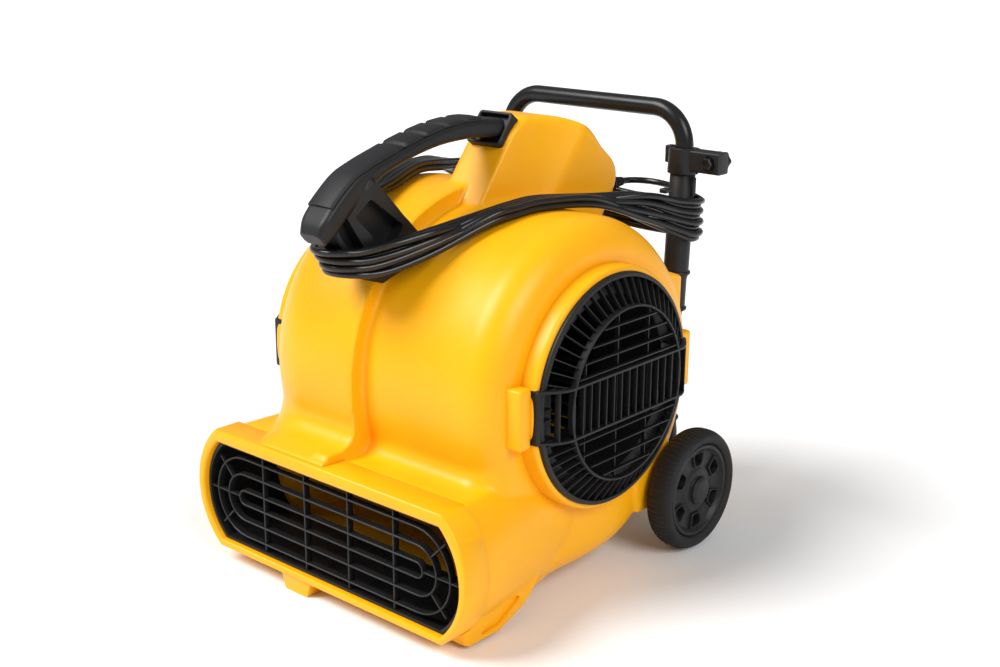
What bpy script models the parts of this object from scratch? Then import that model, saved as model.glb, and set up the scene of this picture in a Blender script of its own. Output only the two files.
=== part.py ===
"""Air mover with a snail housing, a carry handle, a telescopic trolley handle and two wheels.

Sizes are in millimetres and are scaled to metres where a mesh is made. +X is the object's right,
-Y the outlet, +Z up. The origin is on the floor, under the middle of the object.
"""
import math

import bmesh
import bpy
from mathutils import Matrix, Vector

MM = 0.001
GAP = 0.3                                  # clearance between neighbouring pieces
ORIGIN_SHIFT_Y = -5.07                     # brings the middle of the finished object to y = 0

# Scroll housing
FAN_Y, FAN_Z = 11.0, 242.0                 # fan axis, along X
SCROLL_R = 187.0                           # over the front and the top
SCROLL_GROWTH = 37.0                       # added towards the belly
SCROLL_FROM, SCROLL_TO = 112.0, 252.0      # angles between which it grows
LEFT_STEP = 18.0                           # the left half stands proud of the right
SIDE_X = 186.0                             # flat flank
WALL = 3.5
ROOF = {1: 164.5, -1: 177.0}               # outlet roof of each half
ROOF_FILLET = {1: 18.0, -1: 22.0}
ROOF_FRONT = {1: -206.0, -1: -228.0}
SHOULDER_X = {1: 146.0, -1: 82.0}          # where the flat back of each half ends
SHOULDER_DROP = {1: 40.0, -1: 100.0}
FLOOR_Z = 21.0

# Outlet
COLLAR_FRONT, COLLAR_BACK = -245.0, -207.0
COLLAR_OUTER = (182.5, 18.5, 166.5, 218.5)      # corner x, low z, high z, bulge x
COLLAR_INNER = (179.6, 26.9, 151.6, 208.0)
DUCT_SIDE = 215.0
GRILLE_FRONT, GRILLE_DEPTH = -238.0, 10.0

# Inlets
INLET_R, RING_R, RING_X = 112.0, 140.0, 196.0
GUARD_R, GUARD_RIM_X, GUARD_TOP_X = 132.6, 211.0, 229.0
GUARD_INNER_R = 98.0
SLATS = 32
BAND_HALF_H, BAND_HALF_L = 30.0, 141.0

# Trolley handle and wheels
TUBE_R, TUBE_WALL = 11.0, 1.5
POST_X, POST_TOP_Z = 139.0, 523.5
POST_TILT = math.radians(2.8)
POST_TOP_Y = 234.0
BEND_R = 47.0
SLEEVE_R, BORE_R = 15.5, 11.8
SLEEVE_LOW, SLEEVE_HIGH = 278.0, 448.0
CLAMP_LOW, CLAMP_HIGH = 448.3, 479.0
CLAMP_SCREW_X, CLAMP_SCREW_Z = 181.0, 465.0
SOCKET_LOW, SOCKET_HIGH = 66.0, 142.0
WHEEL_Y, WHEEL_Z, WHEEL_R = 170.0, 75.0, 75.0
WHEEL_IN, WHEEL_OUT = 194.0, 228.0
HUB_R, AXLE_R = 58.0, 6.0

# Electrical box on top
BOX_LEAN = 0.75                            # its sections lean back: y gained per z
BOX_BASE_Z = 425.0
NOSE_HALF, BOX_HALF = 27.0, 60.0
NOSE_S, CREASE_S, BOX_END_S = -15.0, 80.0, 221.0

# Cord
CORD_R = 4.0

YELLOW = ((1.0, 0.50, 0.009, 1.0), 0.42, 0.0)
BLACK = ((0.012, 0.012, 0.013, 1.0), 0.5, 0.0)
SATIN_BLACK = ((0.010, 0.010, 0.011, 1.0), 0.32, 0.0)
RUBBER = ((0.016, 0.016, 0.017, 1.0), 0.8, 0.0)
STEEL = ((0.55, 0.56, 0.57, 1.0), 0.3, 1.0)
GREY = ((0.22, 0.23, 0.24, 1.0), 0.5, 0.0)


# ---------------------------------------------------------------- scene and materials

def empty_scene():
    for item in list(bpy.data.objects):
        bpy.data.objects.remove(item, do_unlink=True)


def new_collection(name):
    group = bpy.data.collections.new(name)
    bpy.context.scene.collection.children.link(group)
    return group


def add_material(item, look):
    color, roughness, metallic = look
    material = bpy.data.materials.new(item.name)
    material.use_nodes = True
    shader = material.node_tree.nodes["Principled BSDF"]
    shader.inputs["Base Color"].default_value = color
    shader.inputs["Roughness"].default_value = roughness
    shader.inputs["Metallic"].default_value = metallic
    material.diffuse_color = color
    item.data.materials.clear()
    item.data.materials.append(material)


def as_part(item, name, look):
    """Name a finished sub-part and give it its material."""
    item.name = name
    item.data.name = name
    add_material(item, look)
    PARTS.objects.link(item)
    return item


def as_tool(item):
    """Keep a shape that only joins or cuts another one."""
    item.hide_render = True
    item.display_type = "WIRE"
    CUTTERS.objects.link(item)
    return item


def boolean(item, tool, operation):
    step = item.modifiers.new(operation.lower(), "BOOLEAN")
    step.operation = operation
    step.solver = "EXACT"
    step.object = as_tool(tool)
    return item


def join(item, *tools):
    for tool in tools:
        boolean(item, tool, "UNION")
    return item


def cut(item, *tools):
    for tool in tools:
        boolean(item, tool, "DIFFERENCE")
    return item


# ---------------------------------------------------------------- shapes

def from_bmesh(shape, smooth=False):
    bmesh.ops.recalc_face_normals(shape, faces=shape.faces)
    mesh = bpy.data.meshes.new("shape")
    shape.to_mesh(mesh)
    shape.free()
    if smooth:
        mesh.shade_smooth()
        mesh.set_sharp_from_angle(angle=math.radians(35.0))
    return bpy.data.objects.new("shape", mesh)


def box(low, high, bevel=0.0):
    shape = bmesh.new()
    bmesh.ops.create_cube(shape, size=1.0)
    size = (Vector(high) - Vector(low)) * MM
    middle = (Vector(high) + Vector(low)) * 0.5 * MM
    bmesh.ops.scale(shape, vec=size, verts=shape.verts)
    bmesh.ops.translate(shape, vec=middle, verts=shape.verts)
    item = from_bmesh(shape)
    if bevel:
        round_off = item.modifiers.new("bevel", "BEVEL")
        round_off.width = bevel * MM
        round_off.segments = 1
    return item


def boxes(spans):
    """Several boxes that don't touch, as one tool."""
    shape = bmesh.new()
    for low, high, turn in spans:
        size = (Vector(high) - Vector(low)) * MM
        middle = (Vector(high) + Vector(low)) * 0.5 * MM
        place = turn @ Matrix.Translation(middle) @ Matrix.Diagonal((*size, 1.0))
        bmesh.ops.create_cube(shape, size=1.0, matrix=place)
    return from_bmesh(shape)


def rod(start, end, radius, sides=16):
    start, end = Vector(start) * MM, Vector(end) * MM
    along = end - start
    shape = bmesh.new()
    place = Matrix.Translation((start + end) * 0.5) @ along.to_track_quat("Z", "Y").to_matrix().to_4x4()
    bmesh.ops.create_cone(shape, cap_ends=True, segments=sides, radius1=radius * MM,
                          radius2=radius * MM, depth=along.length, matrix=place)
    return from_bmesh(shape, smooth=True)


def turned(profile, steps, closed=False):
    """Turn (radius, height) points round Z; the outer side runs from the top down."""
    points = [(r * MM, 0.0, h * MM) for r, h in profile]
    count = len(points)
    edges = [(i, (i + 1) % count) for i in range(count if closed else count - 1)]
    mesh = bpy.data.meshes.new("profile")
    mesh.from_pydata(points, edges, [])
    item = bpy.data.objects.new("turned", mesh)
    spin = item.modifiers.new("turn", "SCREW")
    spin.steps = steps
    spin.render_steps = steps
    spin.use_merge_vertices = True
    spin.merge_threshold = 0.00001
    spin.use_smooth_shade = True
    return item


def along_x(item, side, y, z):
    """Lay a turned piece along X, its heights pointing to the given side."""
    item.rotation_euler = (0.0, side * math.pi / 2.0, 0.0)
    item.location = (0.0, y * MM, z * MM)
    return item


def along_y(item, x, y, z):
    item.rotation_euler = (-math.pi / 2.0, 0.0, 0.0)
    item.location = (x * MM, y * MM, z * MM)
    return item


def on_post(item, side):
    """Stand a turned piece on the leaning axis of a trolley post, heights from the floor."""
    item.rotation_euler = (-POST_TILT, 0.0, 0.0)
    item.location = (side * POST_X * MM, post_y(0.0) * MM, 0.0)
    return item


def solid_from_curve(curve_item):
    """Make a closed mesh of a filled curve, so that it can be cut or joined."""
    bpy.context.scene.collection.objects.link(curve_item)
    graph = bpy.context.evaluated_depsgraph_get()
    mesh = bpy.data.meshes.new_from_object(curve_item.evaluated_get(graph))
    shape = bmesh.new()
    shape.from_mesh(mesh)
    bmesh.ops.remove_doubles(shape, verts=shape.verts, dist=0.00001)
    item = from_bmesh(shape, smooth=True)
    item.matrix_world = curve_item.matrix_world.copy()
    bpy.data.objects.remove(curve_item, do_unlink=True)
    return item


PLANES = {
    "YZ": Matrix(((0, 0, 1, 0), (1, 0, 0, 0), (0, 1, 0, 0), (0, 0, 0, 1))),
    "XZ": Matrix(((1, 0, 0, 0), (0, 0, -1, 0), (0, 1, 0, 0), (0, 0, 0, 1))),
    "XY": Matrix.Identity(4),
}


def prism(outlines, plane, low, high):
    """Extrude one outline, with holes as further outlines, between two coordinates."""
    curve = bpy.data.curves.new("outline", "CURVE")
    curve.dimensions = "2D"
    curve.fill_mode = "BOTH"
    curve.extrude = (high - low) * 0.5 * MM
    for outline in outlines:
        spline = curve.splines.new("POLY")
        spline.points.add(len(outline) - 1)
        for point, (u, v) in zip(spline.points, outline):
            point.co = (u * MM, v * MM, 0.0, 1.0)
        spline.use_cyclic_u = True
    item = bpy.data.objects.new("prism", curve)
    middle = (low + high) * 0.5 * MM * (-1.0 if plane == "XZ" else 1.0)
    item.matrix_world = PLANES[plane] @ Matrix.Translation((0.0, 0.0, middle))
    return solid_from_curve(item)


def pipe(points, radius, resolution):
    """A solid round bar along a path."""
    curve = bpy.data.curves.new("path", "CURVE")
    curve.dimensions = "3D"
    curve.bevel_depth = radius * MM
    curve.bevel_resolution = resolution
    curve.use_fill_caps = True
    spline = curve.splines.new("POLY")
    spline.points.add(len(points) - 1)
    for point, place in zip(spline.points, points):
        point.co = (place[0] * MM, place[1] * MM, place[2] * MM, 1.0)
    return solid_from_curve(bpy.data.objects.new("pipe", curve))


def loft(rings, closed=False):
    """Skin a row of sections with the same number of points."""
    shape = bmesh.new()
    rows = [[shape.verts.new(Vector(point) * MM) for point in ring] for ring in rings]
    size = len(rows[0])
    pairs = list(zip(rows, rows[1:]))
    if closed:
        pairs.append((rows[-1], rows[0]))
    else:
        shape.faces.new(rows[0])
        shape.faces.new(list(reversed(rows[-1])))
    for first, second in pairs:
        for i in range(size):
            k = (i + 1) % size
            shape.faces.new((first[k], first[i], second[i], second[k]))
    return from_bmesh(shape, smooth=True)


def arc(centre, radius, start, end, count):
    """Points on an arc, angles in degrees."""
    angles = [math.radians(start + (end - start) * i / count) for i in range(count + 1)]
    return [(centre[0] + radius * math.cos(a), centre[1] + radius * math.sin(a)) for a in angles]


def smooth_route(points, spacing):
    """Evenly spaced points on a smooth curve through the given ones."""
    route = [Vector(point) for point in points]
    route = [route[0] * 2 - route[1]] + route + [route[-1] * 2 - route[-2]]
    dense = []
    for a, b, c, d in zip(route, route[1:], route[2:], route[3:]):
        for i in range(24):
            t = i / 24.0
            dense.append(0.5 * (2 * b + (c - a) * t + (2 * a - 5 * b + 4 * c - d) * t * t
                                + (3 * b - a - 3 * c + d) * t ** 3))
    dense.append(route[-2])
    lengths = [0.0]
    for first, second in zip(dense, dense[1:]):
        lengths.append(lengths[-1] + (second - first).length)
    count = max(2, round(lengths[-1] / spacing))
    result = []
    k = 0
    for i in range(count + 1):
        target = lengths[-1] * i / count
        while k < len(lengths) - 2 and lengths[k + 1] < target:
            k += 1
        part = (target - lengths[k]) / (lengths[k + 1] - lengths[k])
        result.append(dense[k].lerp(dense[k + 1], min(1.0, part)))
    return result


def smoothstep(value):
    value = min(1.0, max(0.0, value))
    return value * value * (3.0 - 2.0 * value)


def post_y(z):
    """Y of the leaning post axis at a height."""
    return POST_TOP_Y - (POST_TOP_Z - z) * math.tan(POST_TILT)


# ---------------------------------------------------------------- scroll housing

def scroll_radius(side, angle):
    """Radius at an angle from the front (0), over the top (90), to the belly (270)."""
    share = min(1.0, max(0.0, (angle - SCROLL_FROM) / (SCROLL_TO - SCROLL_FROM)))
    radius = SCROLL_R + SCROLL_GROWTH * share ** 1.9
    if side < 0:
        radius += LEFT_STEP * (1.0 - smoothstep((angle - 110.0) / 60.0))
    return radius


def scroll_outline(side):
    """Side outline of one half as (y, z, share of the shoulder drop)."""
    fillet = ROOF_FILLET[side]
    top = SCROLL_R + (LEFT_STEP if side < 0 else 0.0)
    centre_z = ROOF[side] + fillet
    centre_y = FAN_Y - math.sqrt((top + fillet) ** 2 - (FAN_Z - centre_z) ** 2)
    touch = -math.degrees(math.asin((FAN_Z - centre_z) / (top + fillet)))
    low_share = 1.0 if side > 0 else 0.4
    points = [(ROOF_FRONT[side], ROOF[side], low_share)]
    fillet_arc = arc((centre_y, centre_z), fillet, -90.0, -touch, 4)
    points += [(y, z, low_share) for y, z in fillet_arc[:-1]]
    steps = 26
    for i in range(steps + 1):
        angle = touch + (270.0 - touch) * i / steps
        radius = scroll_radius(side, angle)
        turn = math.radians(angle)
        rise = smoothstep((angle - touch) / 15.0)
        fall = smoothstep((angle - 130.0) / 70.0)
        share = low_share + (1.0 - low_share) * rise * (1.0 - fall)
        points.append((FAN_Y - radius * math.cos(turn), FAN_Z + radius * math.sin(turn), share))
    points += [(-70.0, FLOOR_Z - 1.5, low_share), (-150.0, FLOOR_Z, low_share)]
    points.append((ROOF_FRONT[side], FLOOR_Z, low_share))
    return points


def scroll_body(side, inset, seam_x):
    """One half of the scroll as a solid, its skin moved inwards by inset, from seam_x outwards."""
    outline = scroll_outline(side)
    flat = [Vector((y, z)) for y, z, _ in outline]
    count = len(flat)
    inward = []
    for i, point in enumerate(flat):
        before = (point - flat[i - 1]).normalized()
        after = (flat[(i + 1) % count] - point).normalized()
        tangent = (before + after).normalized()
        stretch = min(1.6, 1.0 / max(0.3, tangent.dot(before)))
        inward.append(Vector((tangent.y, -tangent.x)) * stretch)
    inward[0] = Vector((0.0, -1.0))
    inward[-1] = Vector((0.0, 1.0))
    start, drop = SHOULDER_X[side], SHOULDER_DROP[side]
    reach = SIDE_X - start - inset
    stations = [(seam_x, 0.0)]
    steps = 4 if side > 0 else 5
    for i in range(steps + 1):
        turn = math.pi / 2.0 * i / steps
        stations.append((start + reach * math.sin(turn), (drop - inset) * (1.0 - math.cos(turn))))
    rings = []
    for x, sink in stations:
        ring = []
        for point, normal, (_, _, share) in zip(flat, inward, outline):
            place = point + normal * (inset + sink * share)
            ring.append((side * x, place.x, place.y))
        for end in (0, -1):
            ring[end] = (side * x, ROOF_FRONT[side] + inset, ring[end][2])
        rings.append(ring)
    return loft(rings)


def racetrack(corner_x, low, high, bulge_x, count=6):
    """Flat top and bottom with bowed ends, as (x, z)."""
    half = (high - low) * 0.5
    middle = (high + low) * 0.5
    sagitta = bulge_x - corner_x
    radius = (half * half + sagitta * sagitta) / (2.0 * sagitta)
    spread = math.degrees(math.asin(half / radius))
    right = arc((bulge_x - radius, middle), radius, spread, -spread, count)
    return right + [(-x, z) for x, z in reversed(right)]


def duct_body(inset, front):
    """Outlet duct across both halves, narrowing towards the scroll."""
    stations = ((front, 180.0, DUCT_SIDE, 0.0), (-175.0, 178.0, 212.0, 0.0), (-120.0, 174.0, 203.0, 0.0),
                (-70.0, 170.0, 193.0, 0.0), (-15.0, 158.0, 183.0, 4.0),
                (40.0 - 2.0 * inset, 110.0, 160.0, 22.0))
    rings = []
    for y, corner, bulge, lift in stations:
        outline = racetrack(corner - inset, FLOOR_Z + 0.3 + lift + inset, ROOF[1] - 0.5 - inset,
                            bulge - inset)
        rings.append([(x, y, z) for x, z in outline])
    return loft(rings)


def sleeve_room(side, radius, low, high):
    return on_post(turned([(0.0, high), (radius, high), (radius, low), (0.0, low)], 20), side)


def span(side, near, far):
    """Order two X coordinates of one side."""
    return (side * near, side * far) if side > 0 else (side * far, side * near)


def side_box(side, near, far, y_span, z_span, bevel=0.0):
    x_low, x_high = span(side, near, far)
    return box((x_low, y_span[0], z_span[0]), (x_high, y_span[1], z_span[1]), bevel)


def side_prism(side, outline, near, far):
    x_low, x_high = span(side, near, far)
    return prism([outline], "YZ", x_low, x_high)


def inlet_ring(side):
    profile = [(RING_R - 2.0, RING_X), (RING_R, RING_X - 2.0), (RING_R, SIDE_X - 16.0),
               (INLET_R, SIDE_X - 16.0), (INLET_R, RING_X)]
    return along_x(turned(profile, 40, closed=True), side, FAN_Y, FAN_Z)


def band_boss(side, front):
    y_in = BAND_HALF_L + GAP * 2
    y_out = y_in + 23.0
    ys = (FAN_Y - y_out, FAN_Y - y_in) if front else (FAN_Y + y_in, FAN_Y + y_out)
    return side_box(side, 160.0, 203.0, ys, (FAN_Z - 35.0, FAN_Z + 37.0), bevel=3.0)


def axle_plate(side):
    outline = [(80.0, 150.0), (92.0, 60.0)]
    outline += arc((WHEEL_Y, WHEEL_Z), 17.0, -100.0, 70.0, 6)
    outline += [(150.0, 140.0)]
    return side_prism(side, outline, 172.0, 189.0)


def foot_rail(side):
    outline = [(-214.0, 60.0), (-214.0, 7.0), (-203.0, 3.3), (-158.0, 4.5), (-118.0, 20.0),
               (-97.0, 38.0), (-84.0, 70.0)]
    return side_prism(side, outline, 152.0, 190.0)


def post_boss(side):
    """Lug on the back of the scroll that holds the guide sleeve."""
    outline = [(150.0, 300.0), (188.0, 335.0), (213.0, 326.0), (213.0, 258.0), (170.0, 235.0)]
    return side_prism(side, outline, 121.0, 160.0)


def socket_arm(side):
    return side_box(side, 128.0, 150.0, (140.0, 207.0), (84.0, 122.0), bevel=2.0)


def housing_half(side):
    seam = 10.0
    body = scroll_body(side, 0.0, -seam)
    join(body, duct_body(0.0, COLLAR_BACK + GAP), inlet_ring(side), band_boss(side, True),
         band_boss(side, False), axle_plate(side), foot_rail(side), post_boss(side),
         socket_arm(side))
    if side > 0:
        cut(body, scroll_body(side, WALL, -2.0 * seam))
    else:
        cut(body, scroll_body(side, WALL, 4.0), seam_opening())
    cut(body, duct_body(WALL, COLLAR_BACK - 20.0))
    hole = turned([(0.0, 230.0), (INLET_R - 4.0, 230.0), (INLET_R - 4.0, 150.0), (0.0, 150.0)], 40)
    cut(body, along_x(hole, side, FAN_Y, FAN_Z))
    cut(body, sleeve_room(side, SLEEVE_R + 2.6 + GAP, SLEEVE_LOW - 6.0, SLEEVE_LOW + 70.0))
    cut(body, sleeve_room(side, TUBE_R + 1.0, SLEEVE_LOW - 80.0, SLEEVE_LOW))
    cut(body, sleeve_room(side, SLEEVE_R + 2.6 + GAP, SOCKET_LOW - 6.0, SOCKET_HIGH + 6.0))
    cut(body, rod((side * 160.0, WHEEL_Y, WHEEL_Z), (side * 200.0, WHEEL_Y, WHEEL_Z), AXLE_R + GAP))
    cut(body, collar_room())
    cut(body, side_box(side, 163.5, 184.0, (-194.0, -164.0), (-5.0, 9.0 + GAP)))
    x_low, x_high = span(side, -60.0, GAP * 0.5)
    cut(body, box((x_low - 200.0 * (side > 0), -300.0, -10.0),
                  (x_high + 200.0 * (side < 0), 300.0, 600.0)))
    return as_part(body, "housing_right" if side > 0 else "housing_left", YELLOW)


def seam_opening():
    """Opening of the left half at the seam, as wide as the right half's cavity."""
    outline = scroll_outline(1)
    flat = [Vector((y, z)) for y, z, _ in outline]
    middle = Vector((FAN_Y, FAN_Z))
    ring = []
    for point in flat:
        pull = (middle - point).normalized() * (WALL + 1.0)
        ring.append((point.x + pull.x, point.y + pull.y))
    return prism([ring], "YZ", -6.0, 14.0)


# ---------------------------------------------------------------- outlet

def shifted(outline, y):
    return [(x, y, z) for x, z in outline]


def grow(track, amount):
    corner, low, high, bulge = track
    return (corner + amount, low - amount, high + amount, bulge + amount)


def collar_room():
    outline = racetrack(*grow(COLLAR_OUTER, GAP))
    return loft([shifted(outline, COLLAR_FRONT - 8.0), shifted(outline, COLLAR_BACK + GAP * 0.5)])


def outlet_collar():
    """Ring round the mouth of the duct with a front skid under it."""
    outer = racetrack(*COLLAR_OUTER)
    front = racetrack(*grow(COLLAR_OUTER, -2.0))
    collar = loft([shifted(front, COLLAR_FRONT), shifted(outer, COLLAR_FRONT + 3.0),
                   shifted(outer, COLLAR_BACK)])
    join(collar, prism([[(-75.0, 24.0), (-66.0, 0.0), (-30.0, 0.0), (-21.0, 24.0)]], "XZ",
                       COLLAR_FRONT + 3.0, COLLAR_FRONT + 24.0))
    mouth = racetrack(*grow(COLLAR_INNER, 1.5))
    inner = racetrack(*COLLAR_INNER)
    back = racetrack(*grow(COLLAR_INNER, -0.8))
    cut(collar, loft([shifted(mouth, COLLAR_FRONT - 5.0), shifted(mouth, COLLAR_FRONT + 0.01),
                      shifted(inner, COLLAR_FRONT + 4.0), shifted(back, COLLAR_BACK + 5.0)]))
    return as_part(collar, "outlet_collar", YELLOW)


def loop_outline(half, centre_x, count=4):
    """Racetrack with round ends about the middle of the outlet."""
    middle = (COLLAR_INNER[1] + COLLAR_INNER[2]) * 0.5
    right = arc((centre_x, middle), half, 90.0, -90.0, count)
    return right + [(-x, z) for x, z in reversed(right)]


def outlet_grille():
    """Frame, three loops, four uprights and end spokes."""
    low, high = GRILLE_FRONT, GRILLE_FRONT + GRILLE_DEPTH
    middle = (COLLAR_INNER[1] + COLLAR_INNER[2]) * 0.5
    frame = prism([racetrack(*grow(COLLAR_INNER, -GAP * 3)), racetrack(*grow(COLLAR_INNER, -4.5))],
                  "XZ", low, high)
    for half in (50.0, 30.0, 10.0):
        join(frame, prism([loop_outline(half, 141.0), loop_outline(half - 2.0, 141.0)],
                          "XZ", low + 0.4, high - 1.0))
    for x in (-106.5, -35.5, 35.5, 106.5):
        join(frame, box((x - 1.1, low + 2.0, COLLAR_INNER[1] + 2.0),
                        (x + 1.1, high - 0.4, COLLAR_INNER[2] - 2.0)))
    for side in (1, -1):
        join(frame, side_box(side, 149.5, 204.0, (low + 1.2, high - 1.6), (middle - 1.0, middle + 1.0)))
        for turn in (45.0, -45.0):
            way = Vector((side * math.cos(math.radians(turn)), 0.0, math.sin(math.radians(turn))))
            hub = Vector((side * 141.0, (low + high) * 0.5, middle))
            join(frame, rod(hub + way * 29.0, hub + way * 61.0, 1.3, sides=5))
    return as_part(frame, "outlet_grille", BLACK)


# ---------------------------------------------------------------- inlet guards

def slot_cutters(side):
    """Slots between the slanted slats round the rim."""
    pitch = 2.0 * math.pi / SLATS
    width = pitch * GUARD_INNER_R - 3.2
    place = Matrix.Translation((0.0, FAN_Y * MM, FAN_Z * MM))
    spans = []
    x_low, x_high = span(side, 200.0, 240.0)
    for i in range(SLATS):
        turn = place @ Matrix.Rotation(pitch * (i + 0.5), 4, "X")
        spans.append(((x_low, GUARD_INNER_R + 1.5, -width * 0.5), (x_high, 125.0, width * 0.5), turn))
    return boxes(spans)


def guard_band(side):
    """Broad band across the guard with upright slots."""
    rise = 38.0
    left, right = FAN_Y - BAND_HALF_L, FAN_Y + BAND_HALF_L
    foot, end, top = RING_X + GAP, 205.0, GUARD_TOP_X
    ramp = [(0.0, end), (rise * 0.5, end + 16.0), (rise, top)]
    outer = [(left + s, x) for s, x in ramp] + [(right - s, x) for s, x in reversed(ramp)]
    inner = [(right - s - 3.0 * (s == 0.0), x - 3.2) for s, x in ramp]
    inner += [(left + s + 3.0 * (s == 0.0), x - 3.2) for s, x in reversed(ramp)]
    outline = outer + [(right, foot), (right - 3.0, foot)] + inner + [(left + 3.0, foot), (left, foot)]
    flipped = [(side * x, y) for y, x in outline]
    return prism([flipped], "XY", FAN_Z - BAND_HALF_H, FAN_Z + BAND_HALF_H)


def band_slots(side):
    pitch = 13.6
    x_low, x_high = span(side, 198.0, 240.0)
    spans = []
    for i in range(-9, 10):
        y = FAN_Y + pitch * i
        spans.append(((x_low, y - pitch * 0.5 + 1.1, FAN_Z - BAND_HALF_H + 3.5),
                      (x_high, y + pitch * 0.5 - 1.1, FAN_Z + BAND_HALF_H - 3.5), Matrix.Identity(4)))
    return boxes(spans)


def inner_bars(side):
    """Level bars inside the inner ring, above and below the band."""
    x_low, x_high = span(side, GUARD_TOP_X - 2.6, GUARD_TOP_X - 0.2)
    spans = []
    for way in (1, -1):
        for k in range(4):
            offset = BAND_HALF_H + 8.0 + 16.0 * k
            half = math.sqrt((GUARD_INNER_R - 3.0) ** 2 - (offset + 2.0) ** 2)
            z = FAN_Z + way * offset
            spans.append(((x_low, FAN_Y - half, z - 1.3), (x_high, FAN_Y + half, z + 1.3),
                          Matrix.Identity(4)))
    return boxes(spans)


def inner_ribs(side):
    """Upright ribs behind the level bars."""
    x_low, x_high = span(side, GUARD_TOP_X - 6.0, GUARD_TOP_X - 2.2)
    spans = []
    for y in (-55.0, 0.0, 55.0):
        half = math.sqrt((GUARD_INNER_R - 3.0) ** 2 - y * y)
        spans.append(((x_low, FAN_Y + y - 1.3, FAN_Z - half), (x_high, FAN_Y + y + 1.3, FAN_Z + half),
                      Matrix.Identity(4)))
    return boxes(spans)


def inlet_guard(side):
    top = GUARD_TOP_X - 0.4
    profile = [(92.5, top), (GUARD_INNER_R, top), (GUARD_R, GUARD_RIM_X), (GUARD_R, RING_X + GAP),
               (GUARD_R - 3.2, RING_X + GAP), (GUARD_R - 3.2, GUARD_RIM_X - 2.0),
               (GUARD_INNER_R - 2.0, top - 4.0), (92.5, top - 4.0)]
    guard = along_x(turned(profile, SLATS, closed=True), side, FAN_Y, FAN_Z)
    cut(guard, slot_cutters(side))
    join(guard, inner_ribs(side), inner_bars(side))
    x_low, x_high = span(side, 204.0, 240.0)
    half_h = BAND_HALF_H - 2.0
    cut(guard, box((x_low, FAN_Y - BAND_HALF_L + 7.0, FAN_Z - half_h),
                   (x_high, FAN_Y + BAND_HALF_L - 7.0, FAN_Z + half_h)))
    join(guard, guard_band(side))
    cut(guard, band_slots(side))
    return as_part(guard, "grille_right" if side > 0 else "grille_left", BLACK)


# ---------------------------------------------------------------- fan and motor

def fan_parts():
    spin_y, spin_z = FAN_Y, FAN_Z
    motor = turned([(0.0, 104.0), (50.0, 104.0), (56.0, 98.0), (56.0, 32.0), (50.0, 26.0), (0.0, 26.0)], 20)
    as_part(along_x(motor, -1, spin_y, spin_z), "motor_body", GREY)
    for name, low, high in (("motor_cap_outer", 104.3, 111.0), ("motor_cap_inner", 19.0, 25.7)):
        shell = [(8.0, high), (44.0, high), (48.0, high - 2.0), (48.0, low), (8.0, low)]
        cap = turned(shell, 16, closed=True)
        as_part(along_x(cap, -1, spin_y, spin_z), name, STEEL)
    shaft = rod((-18.7, spin_y, spin_z), (26.0, spin_y, spin_z), 6.0, sides=12)
    as_part(shaft, "motor_shaft", STEEL)
    isolator = turned([(20.0, 117.0), (40.0, 117.0), (40.0, 111.3), (20.0, 111.3)], 20, closed=True)
    as_part(along_x(isolator, -1, spin_y, spin_z), "motor_isolator", RUBBER)
    bracket = turned([(16.0, 121.3), (46.0, 121.3), (46.0, 117.3), (16.0, 117.3)], 16, closed=True)
    along_x(bracket, -1, spin_y, spin_z)
    rim = turned([(114.0, 169.7), (128.0, 169.7), (128.0, 165.7), (114.0, 165.7)], 24, closed=True)
    join(bracket, along_x(rim, -1, spin_y, spin_z))
    for angle in (90.0, 210.0, 330.0):
        turn = math.radians(angle)
        way = Vector((0.0, math.cos(turn), math.sin(turn)))
        hub = Vector((0.0, spin_y, spin_z))
        join(bracket, rod(hub + way * 40.0 + Vector((-119.3, 0.0, 0.0)),
                          hub + way * 118.0 + Vector((-164.8, 0.0, 0.0)), 4.5, sides=6))
    as_part(bracket, "motor_bracket", BLACK)

    blades = 12
    drum = [(100.0, 106.0), (116.0, 106.0), (116.0, -106.0), (100.0, -106.0)]
    wheel = turned(drum, blades * 2, closed=True)
    along_x(wheel, 1, spin_y, spin_z)
    pitch = 2.0 * math.pi / blades
    place = Matrix.Translation((0.0, spin_y * MM, spin_z * MM))
    spans = []
    for low, high in ((-99.0, 3.0), (11.0, 99.0)):
        for i in range(blades):
            turn = place @ Matrix.Rotation(pitch * (i + 0.25), 4, "X")
            spans.append(((low, 90.0, -12.0), (high, 125.0, 12.0), turn))
    cut(wheel, boxes(spans))
    disc = turned([(20.3, 9.0), (101.0, 9.0), (101.0, 5.0), (20.3, 5.0)], 18, closed=True)
    join(wheel, along_x(disc, 1, spin_y, spin_z))
    impeller = as_part(wheel, "impeller", BLACK)
    hub_profile = [(6.3, 22.0), (14.0, 22.0), (20.0, 14.0), (20.0, 0.0), (14.0, -8.0), (6.3, -8.0)]
    hub = along_x(turned(hub_profile, 14, closed=True), 1, spin_y, spin_z)
    as_part(hub, "impeller_hub", STEEL)
    return impeller, hub


# ---------------------------------------------------------------- electrical box

def box_half_width(s):
    share = min(1.0, max(0.0, (s - NOSE_S) / (CREASE_S - NOSE_S)))
    return NOSE_HALF + (BOX_HALF - NOSE_HALF) * share ** 1.7


def box_top(s):
    """Height of the lid along the leaning sections."""
    knots = [(-15.0, 506.0), (-11.0, 517.0), (-3.0, 522.5), (25.0, 521.0), (52.0, 517.0), (80.0, 509.0),
             (104.0, 499.0), (134.0, 480.0), (183.0, 456.0), (204.0, 435.0), (221.0, 396.0)]
    for (s0, z0), (s1, z1) in zip(knots, knots[1:]):
        if s <= s1:
            return z0 + (z1 - z0) * (s - s0) / (s1 - s0)
    return knots[-1][1]


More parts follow.
